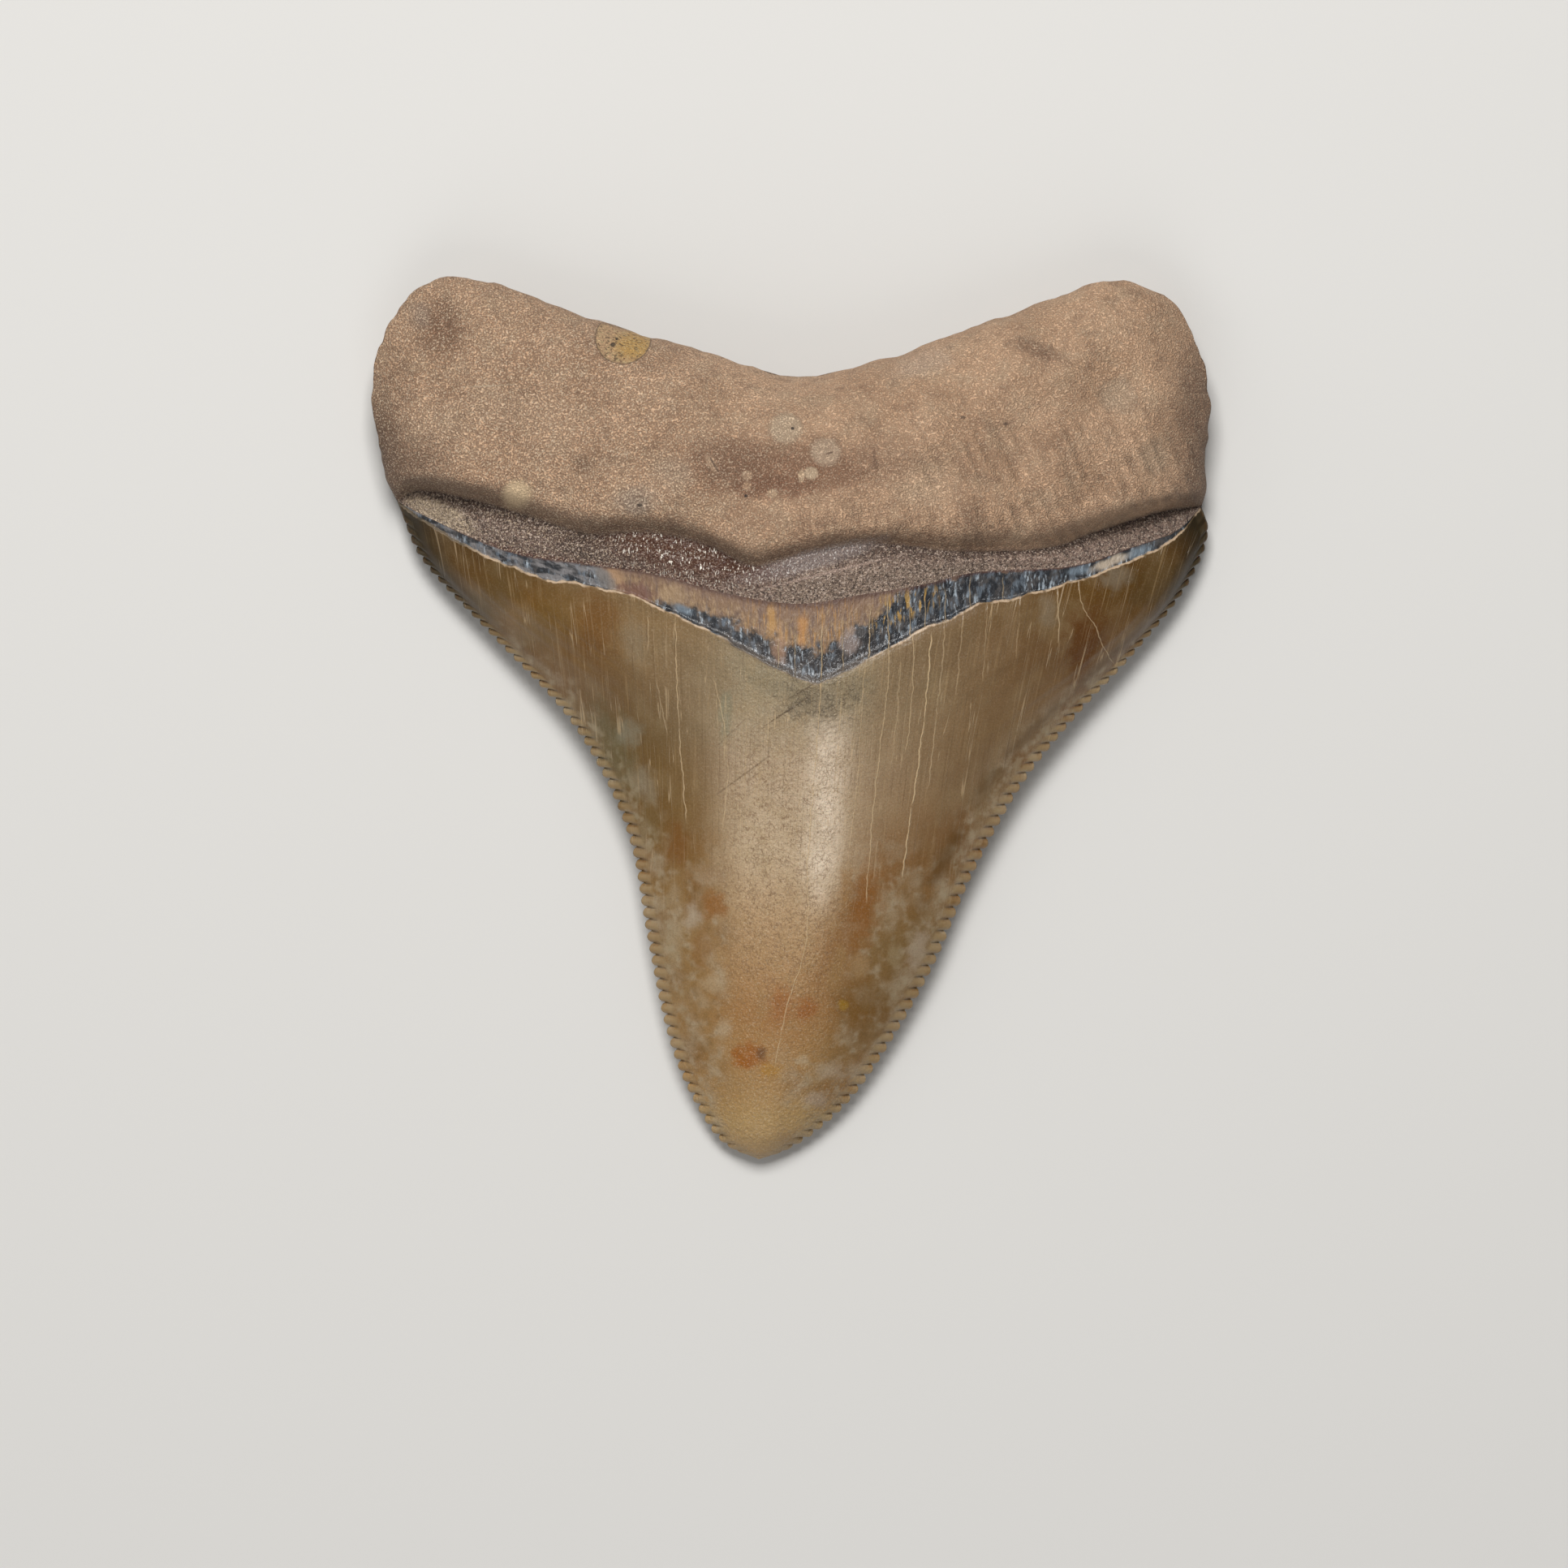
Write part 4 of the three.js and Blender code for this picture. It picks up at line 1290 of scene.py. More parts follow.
    def mottles(self) -> None:
        """Lays soft clouds and amber patches in the see-through sides, and about the tip."""
        skin = self.skin
        beside = skin.both(skin.zone(self.core, 0.85, 0.2), skin.zone(skin.y, 12, 4))
        beside_tip = skin.both(skin.zone(skin.y, -24, -28), skin.zone(skin.x, -2, 1))
        where = put(skin.tree, "Math", {0: beside, 1: beside_tip}, operation="MAXIMUM")
        near_edge = skin.zone(skin.rim, 4.6, 1.8, 1.2, 3)
        low = put(skin.tree, "Math", {0: near_edge, 1: skin.zone(skin.y, -7, -14)}, operation="MAXIMUM")
        where = skin.both(where, low)
        skin.layer(self.amber, 0.45, skin.grain(3.4, 0.44, 0.7, 0.5, seed=6), where)
        skin.layer(self.mottle, 0.45, skin.grain(2.0, 0.42, 0.76, 1, (1, 1.2), seed=5), where)
        skin.layer(self.mottle, 0.55, skin.grain(0.9, 0.46, 0.8, 1.5, seed=7), where)
        skin.layer("#6b5029", 0.4, skin.grain(0.6, 0.46, 0.8, 1.5, seed=38), where)
        skin.spots(self.spots, 0.9)
        under_band = skin.spot(Spot(2.6, 1.6, 3.6, 2.2, soft=1.2))
        skin.layer("#453b2c", 0.7, self.crackle(0.4, 0.1), under_band)

    def crackle(self, size: float, width: float) -> Socket:
        """A mask of hair cracks round small fields of the enamel, in millimetres.

        Args:
            size: of the fields between the cracks.
            width: of the cracks.

        Returns:
            The mask.
        """
        skin, tree = self.skin, self.skin.tree
        stray = put(tree, "TexNoise", {"Vector": skin.place, "Scale": 1 / size, "Detail": 2}, out="Color")
        bent = {0: stray, 1: (size * 1.4,) * 3, 2: skin.place}
        place = put(tree, "VectorMath", bent, operation="MULTIPLY_ADD")
        fields = {"Vector": place, "Scale": 1 / size}
        away = put(tree, "TexVoronoi", fields, out="Distance", feature="DISTANCE_TO_EDGE")
        return skin.both(skin.zone(away, width / size, 0.0), skin.grain(size * 2, 0.4, 0.6, 2, seed=43))

    def growth_lines(self) -> Socket:
        """Lays the core's sandy grain and fine lines along the crown.

        Returns:
            The pale lines' mask.
        """
        skin, tree = self.skin, self.skin.tree
        skin.layer("#94794f", 0.25, skin.grain(1.6, 0.4, 0.7, 2, seed=3), self.core)
        skin.layer("#513a1e", 0.22, skin.grain(0.15, 0.42, 0.7, 2, seed=44))
        milky = put(tree, "Math", {0: self.cream, 1: 0.8, 2: 0.2}, operation="MULTIPLY_ADD")
        skin.layer("#d2bfa4", 0.25, skin.grain(0.14, 0.5, 0.7, 2, seed=4), milky)
        low_core = skin.both(self.core, skin.window(skin.y, -23, -1, 4))
        skin.layer("#6a4d30", 0.5, self.crackle(0.45, 0.06), low_core)
        skin.layer("#6a4d30", 0.5, skin.grain(0.2, 0.58, 0.66, 2, (0.8, 1.5), seed=9), low_core)
        line = put(tree, "Math", {0: skin.y, 1: 0.025}, operation="MULTIPLY")
        fan_place = put(tree, "CombineXYZ", {0: self.fan, 1: line})
        striae = put(tree, "TexNoise", {"Vector": fan_place, "Scale": 5, "Detail": 3.0, "Roughness": 0.7})
        skin.layer(self.stria, 0.3, skin.zone(striae, 0.54, 0.7), self.upper)
        skin.layer("#54391b", 0.3, skin.zone(striae, 0.44, 0.32), self.upper)
        wave = put(tree, "TexNoise", {"Vector": fan_place, "Scale": 1.7, "Detail": 1.5})
        off = put(tree, "Math", {0: wave, 1: 0.5}, operation="SUBTRACT")
        away = put(tree, "Math", {0: off}, operation="ABSOLUTE")
        here_and_there = skin.grain(3, 0.4, 0.54, 2, seed=45)
        pale_lines = skin.both(skin.zone(away, 0.009, 0.002), self.upper, here_and_there)
        skin.layer(self.crack_line, 0.4, pale_lines)
        return pale_lines

    def serrated_rim(self) -> None:
        """Lays the amber line inside the right cutting edge, pale beads partly as painted highlight, and
        painted shade in gaps and wings.
        """
        skin, tree = self.skin, self.skin.tree
        beside_edge = skin.both(skin.window(skin.rim, 2.2, 3.2, 0.9), skin.zone(skin.x, 4, 7))
        along = skin.window(skin.y, -15, 8, 3)
        skin.layer("#523608", 0.75, beside_edge, along, skin.grain(3, 0.3, 0.55, 2, seed=33))
        clouded = skin.both(skin.window(skin.rim, 0.9, 2.1, 0.4), skin.grain(0.9, 0.46, 0.66, 2, seed=39))
        skin.layer("#9b8c70", 0.45, clouded, skin.window(skin.y, -24, 3, 4))
        beats = math.pi * ToothForm.serrations
        phase = put(tree, "Math", {0: skin.growth, 1: beats}, operation="MULTIPLY")
        wave = put(tree, "Math", {0: phase}, operation="SINE")
        beat = put(tree, "Math", {0: wave}, operation="ABSOLUTE")
        on_rim = skin.zone(skin.rim, 1.05, 0.75)
        bead = skin.both(on_rim, skin.zone(beat, 0.3, 0.8), skin.grain(1.5, 0.2, 0.55, 2, seed=40))
        # Partly painted highlight on the beads' tops.
        skin.layer(self.bead, 0.6, bead)
        # Painted shade in the notches.
        skin.layer(self.painted_notch_shade, 0.45, on_rim, skin.zone(beat, 0.3, 0.05))
        # Painted shade: the thin wing edges drawn near black.
        wing = skin.zone(skin.y, 3, 12)
        skin.layer("#1f1806", 0.85, skin.zone(skin.rim, 5.0, 0.8, 0.8, 2), wing)

    def broken_edge(self) -> None:
        """Lays the thin pale line where the enamel broke off, grey in its middle and dark at its left."""
        skin = self.skin
        edge = skin.both(skin.zone(skin.broken, 0.16, 0.05, 0.14, 0.4), self.domed)
        patchy = skin.both(edge, skin.grain(1.3, 0.36, 0.54, 2, seed=35))
        skin.layer("#8a7355", 0.4, edge)
        skin.layer("#c4ab8f", 0.85, patchy)
        skin.layer("#4f4840", 0.8, edge, skin.window(skin.x, -5.5, 6, 1.0))
        skin.layer("#3f3a2e", 0.8, edge, skin.zone(skin.x, -24, -27))

    def make(self) -> bpy.types.Material:
        """Lays the enamel's colours and its fine relief.

        Returns:
            The finished material.
        """
        self.ground()
        self.mottles()
        pale_lines = self.growth_lines()
        self.serrated_rim()
        skin, tree = self.skin, self.skin.tree
        cracks = skin.both(skin.cracks(self.fissures), self.domed)
        skin.layer(self.crack_line, 0.85, cracks)
        self.broken_edge()
        gloss = {"Value": self.cream, "To Min": self.roughness_sides, "To Max": self.roughness_middle}
        rough = put(tree, "MapRange", gloss)
        grain = skin.both(skin.grain(0.3, 0.3, 0.7, 3, seed=8), self.cream)
        relief = put(tree, "Math", {0: grain, 1: 0.6, 2: 0.3}, operation="MULTIPLY_ADD")
        relief = put(tree, "Math", {0: pale_lines, 1: 0.3, 2: relief}, operation="MULTIPLY_ADD")
        relief = put(tree, "Math", {0: cracks, 1: 0.6, 2: relief}, operation="MULTIPLY_ADD")
        return skin.finish(rough, relief, 0.07, self.ior, subsurface=0.1, coat=0.05, specular=0.28)


@dataclass
class NeckBand:
    """The band of dark dentine that the enamel has broken away from, stained blue-black with iron. It is
    fairly smooth, with pale scuffs, and worn through to tan and orange in its middle."""

    ior: float = 1.6
    dark: str = "#222428"
    scuff: str = "#66707a"
    tan: str = "#86694c"
    orange: str = "#ac7d40"
    # How far up the band it is dark, across its middle, both as shares.
    dark_reach: Points = (
        (0, 1), (0.02, 0.95), (0.12, 0.0), (0.15, 0.0), (0.2, 0.3), (0.33, 0.42), (0.45, 0.42),
        (0.6, 0.42), (0.72, 0.52), (0.8, 0.8), (0.87, 1), (1, 1),
    )
    fissures: tuple[Crack, ...] = (
        Crack(((-1, 6), (-1, 3)), 0.9), Crack(((0.3, 7), (0.3, 2.8)), 0.5),
        Crack(((2.4, 7), (2.4, 2)), 1.0, 0.09), Crack(((4.1, 7), (4.1, 3)), 0.6),
        Crack(((6.3, 8.5), (6.1, 4)), 0.9, 0.08), Crack(((7.6, 9.5), (7.7, 5)), 1.0, 0.08),
        Crack(((9.4, 9.5), (9.4, 5.5)), 0.8), Crack(((10.6, 9.5), (10.6, 6)), 0.7),
        Crack(((12.2, 10), (12.2, 7)), 0.7), Crack(((14.2, 11), (14.2, 8)), 0.5),
        Crack(((16.8, 11), (16.8, 9)), 0.6),
    )
    marks: tuple[Spot, ...] = (
        Spot(-1.6, 7.8, 0.3, 1.3, "#b88a48", 0.6, 1.6),
        Spot(0.9, 7.1, 0.35, 1.1, "#b98040", 0.6, 1.6),
        Spot(-0.9, 6.1, 0.35, 1.0, "#a9845e", 0.6, 1.3),
        Spot(-13.9, 11, 0.6, 1.2, "#a3805e", 0.8, 1.2, 20),
        Spot(-14.9, 11.2, 0.5, 1.2, "#77706a", 0.85, 1.0, 40),
        Spot(-12.1, 10, 1.3, 0.8, "#6f4d40", 0.85, 0.8, -15),
        Spot(-9.2, 9.7, 1.2, 0.8, "#9d8262", 0.7, 1.0, -20),
        Spot(-8.6, 8.6, 0.8, 0.3, "#74818c", 0.7, 1.1, -25),
        Spot(-1.0, 5.2, 0.6, 0.9, "#8f705a", 0.7, 1.0),
        Spot(4.6, 5.9, 0.7, 1.0, "#8c7c74", 0.7, 1.0),
        Spot(25.4, 12.4, 1.4, 0.3, "#c6b49e", 0.8, 1.2, 22),
        Spot(27.8, 13.3, 0.9, 0.35, "#7f8d98", 0.7, 1.3, 25),
        Spot(22.9, 11.7, 0.8, 0.25, "#7f8d98", 0.6, 1.3, 10),
    )

    def make(self) -> bpy.types.Material:
        """Lays the band's colours: blue-black, pale scuffs, and the worn middle with its flecks.

        Returns:
            The finished material.
        """
        skin = Skin("neck_dentine")
        tree = skin.tree
        share = put(tree, "Math", {0: skin.growth, 1: -float(Zone.BAND.value)}, operation="ADD")
        skin.layer(self.dark)
        skin.layer("#534f4d", 0.75, skin.grain(1.1, 0.46, 0.64, 3, (0.9, 1.3), seed=11))
        skin.layer(self.scuff, 0.7, skin.grain(0.6, 0.5, 0.66, 3, (0.8, 1.8), seed=12))
        flakes = skin.grain(0.35, 0.54, 0.66, 3, (0.7, 2.4), seed=13)
        skin.layer("#b4bfc7", 0.75, flakes, skin.grain(2.4, 0.4, 0.6, seed=47))
        across = put(tree, "MapRange", {"Value": skin.x, "From Min": -16, "From Max": 14})
        reach = put(tree, "FloatCurve", {"Value": across}, points=self.dark_reach)
        above = put(tree, "Math", {0: share, 1: reach}, operation="SUBTRACT")
        worn = skin.zone(above, -0.08, 0.14, 0.3, 0.8)
        skin.layer(self.tan, 0.95, worn)
        skin.layer("#655045", 0.7, worn, skin.grain(0.9, 0.44, 0.64, 3, (0.5, 2.4), seed=14))
        skin.layer("#a98d68", 0.6, worn, skin.grain(0.3, 0.5, 0.66, 3, (0.6, 2.4), seed=18))
        ledge = skin.grain(0.9, 0.42, 0.62, 3, (2.4, 0.6), seed=19, turn=-18)
        skin.layer("#858180", 0.8, skin.zone(skin.x, -13, -15), ledge)
        skin.layer("#735849", 0.6, skin.zone(share, 0.6, 0.95, 0.2, 1), worn)
        flecks = skin.grain(0.5, 0.5, 0.66, 3, (0.35, 3), seed=15)
        skin.layer(self.orange, 0.6, worn, flecks, skin.window(skin.x, -3.5, 5, 1.2))
        yellow = skin.grain(0.6, 0.53, 0.6, 2, (0.45, 2.6), seed=16)
        right_of_middle = skin.window(skin.x, 6.5, 11.5, 0.8)
        skin.layer("#a88444", 0.85, yellow, right_of_middle, skin.window(share, 0.4, 0.9, 0.15))
        # Painted shade: darker where the band sinks lowest under the enamel's edge, about its V.
        painted_v_shade = skin.both(skin.window(skin.x, -3, 7, 2), skin.zone(share, 0.5, 0.2))
        skin.layer("#3b3028", 0.4, painted_v_shade)
        skin.spots(self.marks, 0.9)
        cracks = skin.cracks(self.fissures)
        skin.layer("#b9a17d", 0.7, cracks)
        broken = skin.zone(skin.broken, 0.12, 0.03, 0.1, 0.4)
        patchy = skin.both(broken, skin.grain(1.3, 0.36, 0.54, 2, seed=35))
        skin.layer("#c4aa8c", 0.85, patchy)
        in_middle = skin.window(skin.x, -5.5, 6, 1.0)
        # Painted shadow: a darker line under the enamel's broken edge, on the band's side, in the middle.
        painted_lip_shadow = skin.both(skin.zone(skin.broken, 0.5, 0.3, 0.15, 0.6), in_middle)
        skin.layer("#5f564e", 0.6, painted_lip_shadow)
        skin.layer("#2c2826", 0.8, broken, in_middle)
        skin.layer("#3f3a2e", 0.8, broken, skin.zone(skin.x, -24, -27))
        skin.layer("#43251d", 0.7, skin.zone(share, 0.88, 0.99))
        grain = skin.grain(0.4, 0.3, 0.7, 3, (0.7, 1.5), seed=17)
        relief = put(tree, "Math", {0: grain, 1: 0.8, 2: cracks}, operation="MULTIPLY_ADD")
        rough = put(tree, "MapRange", {"Value": worn, "To Min": 0.34, "To Max": 0.55})
        return skin.finish(rough, relief, 0.07, self.ior)


@dataclass
class RootBone:
    """The root's porous bony tissue, turned to stone. It is matte and grainy like fine sandpaper, pinkish
    tan, with old pits and stains, and darker at the neck, partly from painted shade under the swelling."""

    ior: float = 1.55
    roughness: float = 0.78
    tan: str = "#cda684"
    neck_brown: str = "#947c6f"
    pore: str = "#5a412e"
    crystal: str = "#e8d0b2"
    stains: tuple[Spot, ...] = (
        Spot(-0.5, 19.6, 7.5, 2.0, "#7a5138", 0.7, 1.3),
        Spot(-4.5, 20.6, 3, 1.8, "#7d5c45", 0.5, 1.3),
        Spot(-1.6, 18.2, 3.4, 0.8, "#74482f", 0.55, 1.2),
        Spot(7.5, 20.5, 3, 1.6, "#86664e", 0.4, 1.3),
        Spot(-27.9, 31.3, 1.6, 2.2, "#6d4830", 0.7, 1.5),
        Spot(-29.6, 32.2, 0.8, 1.0, "#b0a090", 0.4, 1.2),
        Spot(-16.6, 20.1, 0.8, 0.7, "#6d4e38", 0.6, 1.2),
        Spot(19.5, 29.3, 2.3, 0.7, "#694a35", 0.6, 1.4, -22),
        Spot(10.5, 28.2, 2.2, 0.9, "#c4ab95", 0.5, 1.3, 15),
        Spot(-21.8, 17.9, 1.1, 0.9, "#d0b68f", 0.6, 1.0),
        Spot(-12.3, 17.2, 1.6, 1.1, "#b5a28f", 0.6, 1.2),
        Spot(-9.4, 19.2, 1.5, 1.2, "#ceb498", 0.5, 1.2),
        Spot(-28.2, 23.4, 2.4, 1.4, "#d2b292", 0.4, 1.3),
        Spot(10.8, 18.2, 2.0, 1.6, "#d2b292", 0.5, 1.3),
        Spot(-22, 24.6, 4, 1.6, "#d2b292", 0.4, 1.3, -15),
        Spot(-29.5, 20.3, 2.6, 2.0, "#6f5644", 0.5, 1.4, -30),
        Spot(-28.9, 17, 2.2, 0.9, "#b09678", 0.6, 1.2, -28),
        Spot(14, 15.8, 1.2, 2.0, "#8a6b53", 0.4, 1.3),
    )
    discs: tuple[Spot, ...] = (
        Spot(-0.45, 22.9, 1.3, 1.15, "#cfb698", 0.75, 0.5),
        Spot(2.7, 21, 1.15, 1.1, "#cdb296", 0.7, 0.5),
        Spot(1.55, 19.3, 0.55, 0.5, "#dcc1a0", 0.8, 0.5),
        Spot(0.8, 19.1, 0.26, 0.5, "#d6b896", 0.75, 0.5),
        Spot(-3.5, 19.15, 0.42, 0.36, "#d0ae8d", 0.7, 0.6),
        Spot(-3.5, 18.3, 0.36, 0.4, "#caa583", 0.7, 0.6),
        Spot(-1.5, 17.7, 0.42, 0.36, "#d6b592", 0.75, 0.6),
        Spot(26, 25.6, 1.35, 1.3, "#cfb496", 0.5, 0.8),
        Spot(28.9, 20.8, 1.2, 1.2, "#c8ab8c", 0.5, 0.9),
        Spot(-12.2, 16.8, 0.9, 0.7, "#b5a28e", 0.5, 0.8),
    )
    scars: tuple[Spot, ...] = (
        Spot(-21.8, 17.7, 1.1, 0.9, "#e0c39c", 0.85, 1.0),
        Spot(-28.6, 16.6, 2.2, 0.6, "#a8937a", 0.4, 1.3, -28),
        Spot(0.1, 22.9, 0.14, 0.12, "#1d1613", 0.9, 0.7),
        Spot(-3.6, 17.5, 0.14, 0.12, "#241a15", 0.9, 0.7),
        Spot(3.0, 20.9, 0.35, 0.1, "#5f4838", 0.7, 0.8, 20),
        Spot(13.6, 23.8, 0.2, 0.14, "#4a382c", 0.7, 0.8),
        Spot(17, 23.3, 0.18, 0.13, "#5a463a", 0.7, 0.8),
        Spot(-12, 16.8, 0.2, 0.15, "#3c3029", 0.8, 0.8),
        Spot(-6.3, 20.1, 0.3, 0.75, "#bfa183", 0.6, 0.9, 30),
        Spot(-6.1, 20, 0.08, 0.7, "#4a352a", 0.7, 0.8, 30),
        Spot(-24.0, 26.4, 1.9, 0.06, "#cdb89c", 0.5, 1.0, 3),
        Spot(6.6, 20.4, 0.2, 0.9, "#6a4f3d", 0.5, 1.0, 10),
    )
    yellow_place: tuple[float, float] = (-13.4, 30.3)
    yellow_radius: float = 2.25

    def __post_init__(self) -> None:
        """Finds the parts of the root that several layers share."""
        self.skin = skin = Skin("root_bone")
        self.domed = skin.zone(skin.growth, 4.5, 4.4)
        self.neck = skin.both(skin.zone(skin.growth, 3.02, 2.97, 0.015, 0.8), self.domed)
        hollow = Spot(-8, 13.4, 7, 2.4, soft=0.8, turn=-14)
        self.hollow = skin.both(skin.spot(hollow), self.neck)
        above_furrow = skin.zone(skin.growth, 3.1, 3.02)
        self.streak = skin.both(skin.spot(Spot(1.4, 12.4, 5.4, 0.7, soft=0.9, turn=16)), above_furrow)
        lower_right = skin.both(skin.zone(skin.x, 5, 12), skin.zone(skin.y, 26, 21, 1.5, 4))
        lean = {"Vector": skin.place, "Rotation": (0, 0, math.radians(26)), "Scale": (1, 2.5, 1)}
        turned = put(skin.tree, "Mapping", lean, vector_type="TEXTURE")
        bands = {"Vector": turned, "Scale": 0.25, "Distortion": 3.5, "Detail": 2.0, "Detail Scale": 1.2}
        slanting = put(skin.tree, "TexWave", bands, out="Fac")
        self.ridges = skin.both(slanting, lower_right, skin.grain(3, 0.35, 0.6, 1, seed=22))
        above_neck = skin.both(skin.zone(skin.y, 18.5, 15), skin.window(skin.x, -2, 16, 3))
        self.streaks = skin.both(skin.grain(0.5, 0.44, 0.64, 2, (0.8, 4), seed=46, turn=6), above_neck)
        rougher = {"Value": skin.x, "From Min": -12, "From Max": 2, "To Min": 1.0, "To Max": 0.55}
        self.rougher = put(skin.tree, "MapRange", rougher)

    def ground(self) -> None:
        """Lays the sandy tan with its clouds, ridges and stains, and the dark rims."""
        skin = self.skin
        skin.layer(self.tan)
        skin.layer("#a68162", 0.5, skin.grain(5, 0.4, 0.65, 2, seed=20))
        skin.layer("#c3a687", 0.5, skin.grain(2.2, 0.45, 0.7, 3, seed=21))
        skin.layer("#866750", 0.35, skin.grain(1.3, 0.5, 0.68, 2, seed=24))
        skin.layer("#80624b", 0.3, self.ridges)
        skin.layer("#86654e", 0.45, self.streaks)
        left_rim = skin.both(skin.zone(skin.x, -29.0, -33.0, 0.8, 2), skin.zone(skin.y, 29, 22))
        right_rim = skin.both(skin.zone(skin.x, 29.4, 32.6, 0.8, 2), skin.zone(skin.y, 33, 27))
        skin.layer("#50331f", 0.8, left_rim)
        skin.layer("#624938", 0.7, right_rim)
        skin.spots(self.stains, 0.5)
        for disc in self.discs:
            ring = replace(disc, wide=disc.wide * 1.15, high=disc.high * 1.15, soft=0.4)
            skin.layer("#6f5440", 0.35, skin.spot(ring, 0.15))
            skin.layer(disc.colour, disc.strength, skin.spot(disc, 0.15))

    def rough_neck(self) -> None:
        """Lays the darker neck under the furrow, with painted shade under the swelling and in its hollow,
        its pale ledge and red line.
        """
        skin = self.skin
        above_band = skin.zone(skin.growth, 2.0, 2.01)
        furrow_stain_and_shade = skin.both(skin.zone(skin.growth, 3.13, 3.0, 0.04, 1.5), above_band)
        darker_left = skin.zone(skin.x, 24, -4)
        # Darker brown above the furrow, partly painted shade under the swelling's lower edge, stronger on
        # the left.
        skin.layer("#6f5545", 0.2, furrow_stain_and_shade, self.domed)
        skin.layer("#523c2f", 0.5, furrow_stain_and_shade, self.domed, darker_left)
        skin.layer(self.neck_brown, 0.95, self.neck)
        skin.layer("#655248", 0.5, self.neck, skin.zone(skin.x, -9, -20), skin.zone(skin.x, -29, -24))
        corner = Spot(-28.2, 16.5, 3.0, 1.0, soft=0.9, turn=-28)
        skin.layer("#dcc5a5", 0.9, self.neck, skin.spot(corner))
        ledge = skin.both(self.neck, skin.window(skin.x, -2, 16, 3), skin.zone(skin.growth, 2.8, 2.35))
        skin.layer("#94806f", 0.6, ledge)
        mid_left = Spot(-15.4, 13.4, 4.2, 0.9, soft=1.1, turn=-14)
        skin.layer("#4a382f", 0.75, self.neck, skin.spot(mid_left))
        # Painted shade under the swelling's overhang, over the dark brown of the fold there.
        painted_crease_shade = skin.both(self.neck, skin.zone(skin.growth, 2.5, 2.85, 0.12, 1.2))
        skin.layer("#45322a", 0.75, painted_crease_shade)
        # Painted shade in the hollow, over its red-brown colour.
        skin.layer("#4c2f22", 0.8, self.hollow)
        on_left = skin.window(skin.x, -24, -6, 2)
        skin.layer("#56291f", 0.8, self.neck, skin.zone(skin.growth, 2.18, 2.02), on_left)

    def sand(self) -> Socket:
        """Lays dark pores and pale grains over everything, drawn a little coarser than they are, with
        painted shade in the hollow and painted glints.

        Returns:
            The pattern that the relief follows.
        """
        skin, tree = self.skin, self.skin.tree
        sand = skin.grain(0.15, 0.38, 0.62, 2, seed=26)
        pores = put(tree, "Math", {0: 1.0, 1: sand}, operation="SUBTRACT")
        skin.layer(self.pore, 0.6, pores, self.rougher)
        skin.layer(self.crystal, 0.6, skin.grain(0.14, 0.53, 0.65, 2, seed=27), self.rougher)
        skin.layer("#6f5440", 0.4, skin.grain(0.45, 0.56, 0.72, 2, seed=29), self.rougher)
        skin.layer("#33231c", 0.7, skin.grain(0.26, 0.5, 0.62, 2, seed=32), self.neck)
        skin.layer("#cdb8a7", 0.75, skin.grain(0.18, 0.54, 0.65, 2, seed=34), self.neck)
        skin.layer("#978882", 0.6, self.streak)
        pale_line = Spot(2.3, 11.3, 5.6, 0.11, soft=1.0, turn=14)
        skin.layer("#c4a999", 0.5, self.neck, skin.spot(pale_line, 0.6))
        # More painted shade in the hollow.
        skin.layer("#58301f", 0.55, self.hollow)
        # Painted glints: bright specks in the hollow.
        skin.layer("#fff6e6", 1.0, skin.grain(0.24, 0.62, 0.67, 1.5, (0.5, 1.8), seed=25), self.hollow)
        # Fine pale specks on the streak, partly painted glints.
        skin.layer("#e2dad3", 0.7, skin.grain(0.16, 0.57, 0.66, 1.5, (0.7, 1.3), seed=30), self.streak)
        skin.spots(self.scars, 0.2)
        return sand

    def yellow_spot(self) -> None:
        """Lays the half round yellow patch by the root's upper outline, with its thin dark border."""
        skin = self.skin
        x, y = self.yellow_place
        radius = self.yellow_radius
        below = put(skin.tree, "Math", {0: skin.x, 1: 0.23, 2: skin.y}, operation="MULTIPLY_ADD")
        height = put(skin.tree, "SeparateXYZ", {0: skin.place}, out=2)
        on_top = skin.zone(height, 3.2, 4.2, 0.5)
        half_round = Spot(x, y, radius, radius, soft=0.06)
        whole = skin.both(skin.spot(half_round, 0.04), skin.zone(below, 28.3, 27.95), on_top)
        inner = Spot(x, y, radius * 0.95, radius * 0.95, soft=0.07)
        inside = skin.both(skin.spot(inner, 0.04), skin.zone(below, 28.15, 27.85), on_top)
        skin.layer("#54412b", 0.7, whole)
        skin.layer("#c8a27a", 0.8, inside)
        skin.layer("#bf9442", 0.7, inside, skin.spot(Spot(-12.5, 29.6, 1.5, 1.1, soft=1.2)))
        skin.layer("#d0b888", 0.65, inside, skin.grain(0.22, 0.5, 0.64, 3, seed=31))
        skin.layer("#4f3d24", 0.7, inside, skin.grain(0.28, 0.54, 0.66, 2, seed=37))
        dots = ((-15.2, 28.8, 0.2), (-14.2, 29.7, 0.2), (-13.9, 30.2, 0.12))
        for dot_x, dot_y, size in dots:
            skin.layer("#35281c", 0.85, inside, skin.spot(Spot(dot_x, dot_y, size, size)))

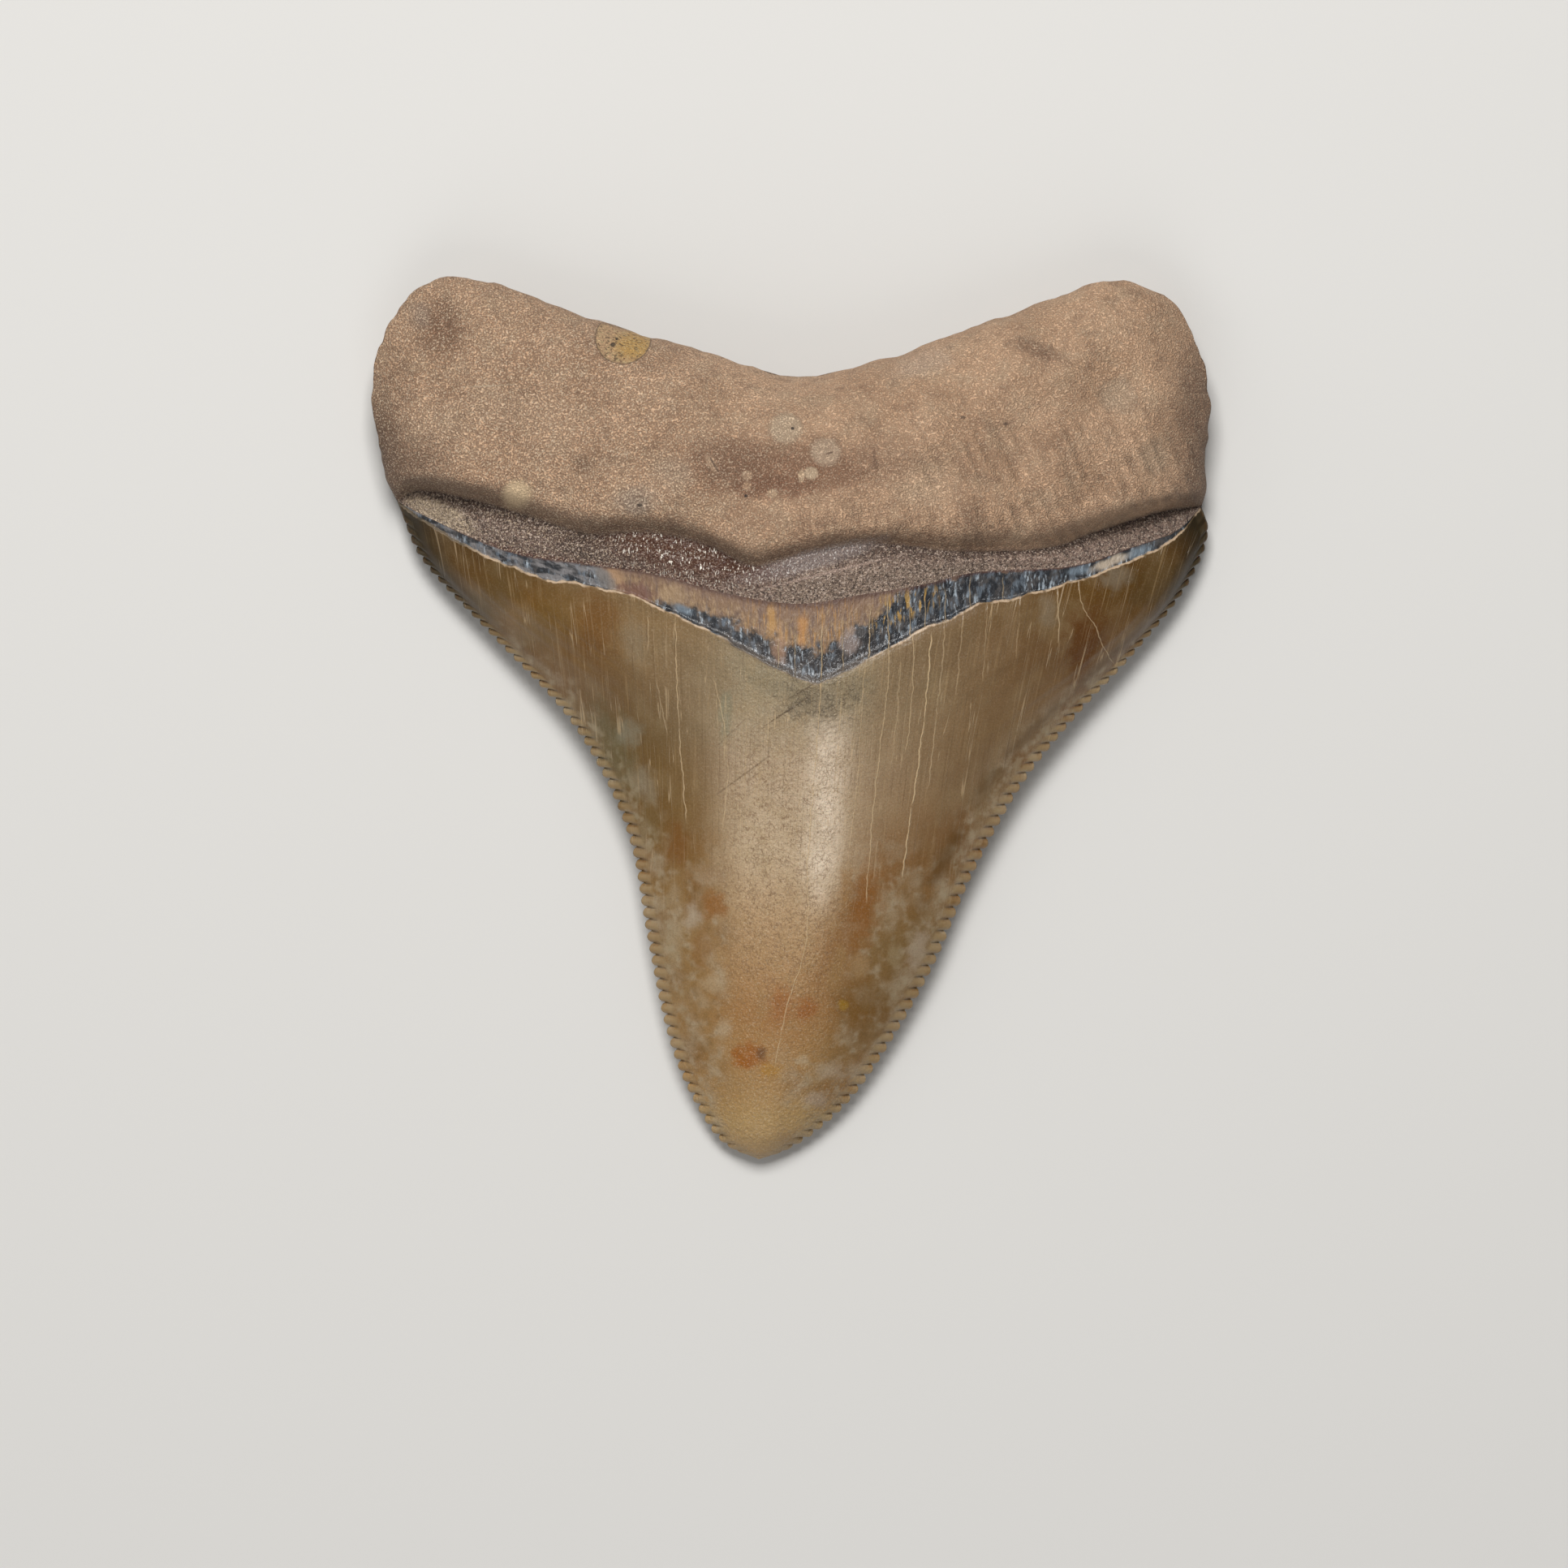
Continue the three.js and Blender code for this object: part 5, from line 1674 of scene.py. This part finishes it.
    def make(self) -> bpy.types.Material:
        """Lays the root's colours and its sandy relief.

        Returns:
            The finished material.
        """
        self.ground()
        self.rough_neck()
        sand = self.sand()
        self.yellow_spot()
        skin, tree = self.skin, self.skin.tree
        lumps = skin.grain(0.75, 0.3, 0.7, 2, seed=28)
        relief = put(tree, "Math", {0: lumps, 1: 0.5, 2: sand}, operation="MULTIPLY_ADD")
        relief = put(tree, "Math", {0: self.ridges, 1: -2.2, 2: relief}, operation="MULTIPLY_ADD")
        relief = put(tree, "Math", {0: self.streaks, 1: -0.7, 2: relief}, operation="MULTIPLY_ADD")
        rough = put(tree, "Math", {0: self.hollow, 1: -0.4, 2: self.roughness}, operation="MULTIPLY_ADD")
        return skin.finish(rough, relief, 0.12, self.ior)


@dataclass(frozen=True)
class Lamp:
    """A soft square light that faces the tooth, in metres and watts."""

    name: str
    place: tuple[float, float, float]
    size: float
    power: float


@dataclass
class Studio:
    """A plain pale floor, soft lights and the camera that looks straight down on the tooth."""

    floor_size: float = 1.6
    floor_colour: str = "#cfcdc9"
    floor_roughness: float = 0.9
    camera_place: tuple[float, float, float] = (-0.58, -5.26, 847.6)  # millimetres
    lens: float = 242.0
    lamps: tuple[Lamp, ...] = (
        Lamp("key_light", (-0.02, 0.27, 0.50), 0.22, 3.2),
        Lamp("fill_light", (-0.05, -0.42, 0.42), 0.45, 0.88),
        Lamp("side_light", (-0.45, 0.05, 0.30), 0.35, 0.22),
    )
    air: float = 0.15

    def floor(self) -> None:
        """Lays the floor."""
        bm = bmesh.new()
        bmesh.ops.create_grid(bm, x_segments=1, y_segments=1, size=self.floor_size / 2)
        mesh = bpy.data.meshes.new("floor")
        bm.to_mesh(mesh)
        bm.free()
        material = bpy.data.materials.new("pale_floor")
        material.use_nodes = True
        shader = material.node_tree.nodes["Principled BSDF"]
        shader.inputs["Base Color"].default_value = linear(self.floor_colour)
        shader.inputs["Roughness"].default_value = self.floor_roughness
        mesh.materials.append(material)
        floor = bpy.data.objects.new("floor", mesh)
        bpy.context.scene.collection.objects.link(floor)

    def light(self) -> None:
        """Hangs the soft lights and lightens the air."""
        for lamp in self.lamps:
            data = bpy.data.lights.new(lamp.name, "AREA")
            data.size = lamp.size
            data.energy = lamp.power
            light = bpy.data.objects.new(lamp.name, data)
            light.location = lamp.place
            light.rotation_euler = Vector(lamp.place).to_track_quat("Z", "Y").to_euler()
            bpy.context.scene.collection.objects.link(light)
        world = bpy.data.worlds.new("air")
        world.use_nodes = True
        world.node_tree.nodes["Background"].inputs["Color"].default_value = (1, 1, 1, 1)
        world.node_tree.nodes["Background"].inputs["Strength"].default_value = self.air
        bpy.context.scene.world = world

    def camera(self) -> None:
        """Sets up the camera."""
        data = bpy.data.cameras.new("camera")
        data.lens = self.lens
        camera = bpy.data.objects.new("camera", data)
        camera.location = Vector(self.camera_place) * MM
        bpy.context.scene.collection.objects.link(camera)
        bpy.context.scene.camera = camera
        bpy.context.scene.view_settings.view_transform = "Standard"


def main() -> None:
    """Builds the tooth and the studio in order."""
    enamel = CrownEnamel().make()
    band = NeckBand().make()
    bone = RootBone().make()
    dressed = {
        Zone.CROWN: enamel, Zone.BAND: band, Zone.NECK: bone, Zone.ROOT: bone,
        Zone.FLAT_CROWN: enamel, Zone.FLAT_ROOT: bone,
    }
    tooth = ToothSkinMesh(ToothForm()).build("fossil_tooth", dressed)
    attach(tooth, "root")
    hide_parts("tooth")
    studio = Studio()
    studio.floor()
    studio.light()
    studio.camera()
    log.info("studio: floor, %d lights and camera", len(studio.lamps))


if __name__ == "__main__":
    main()
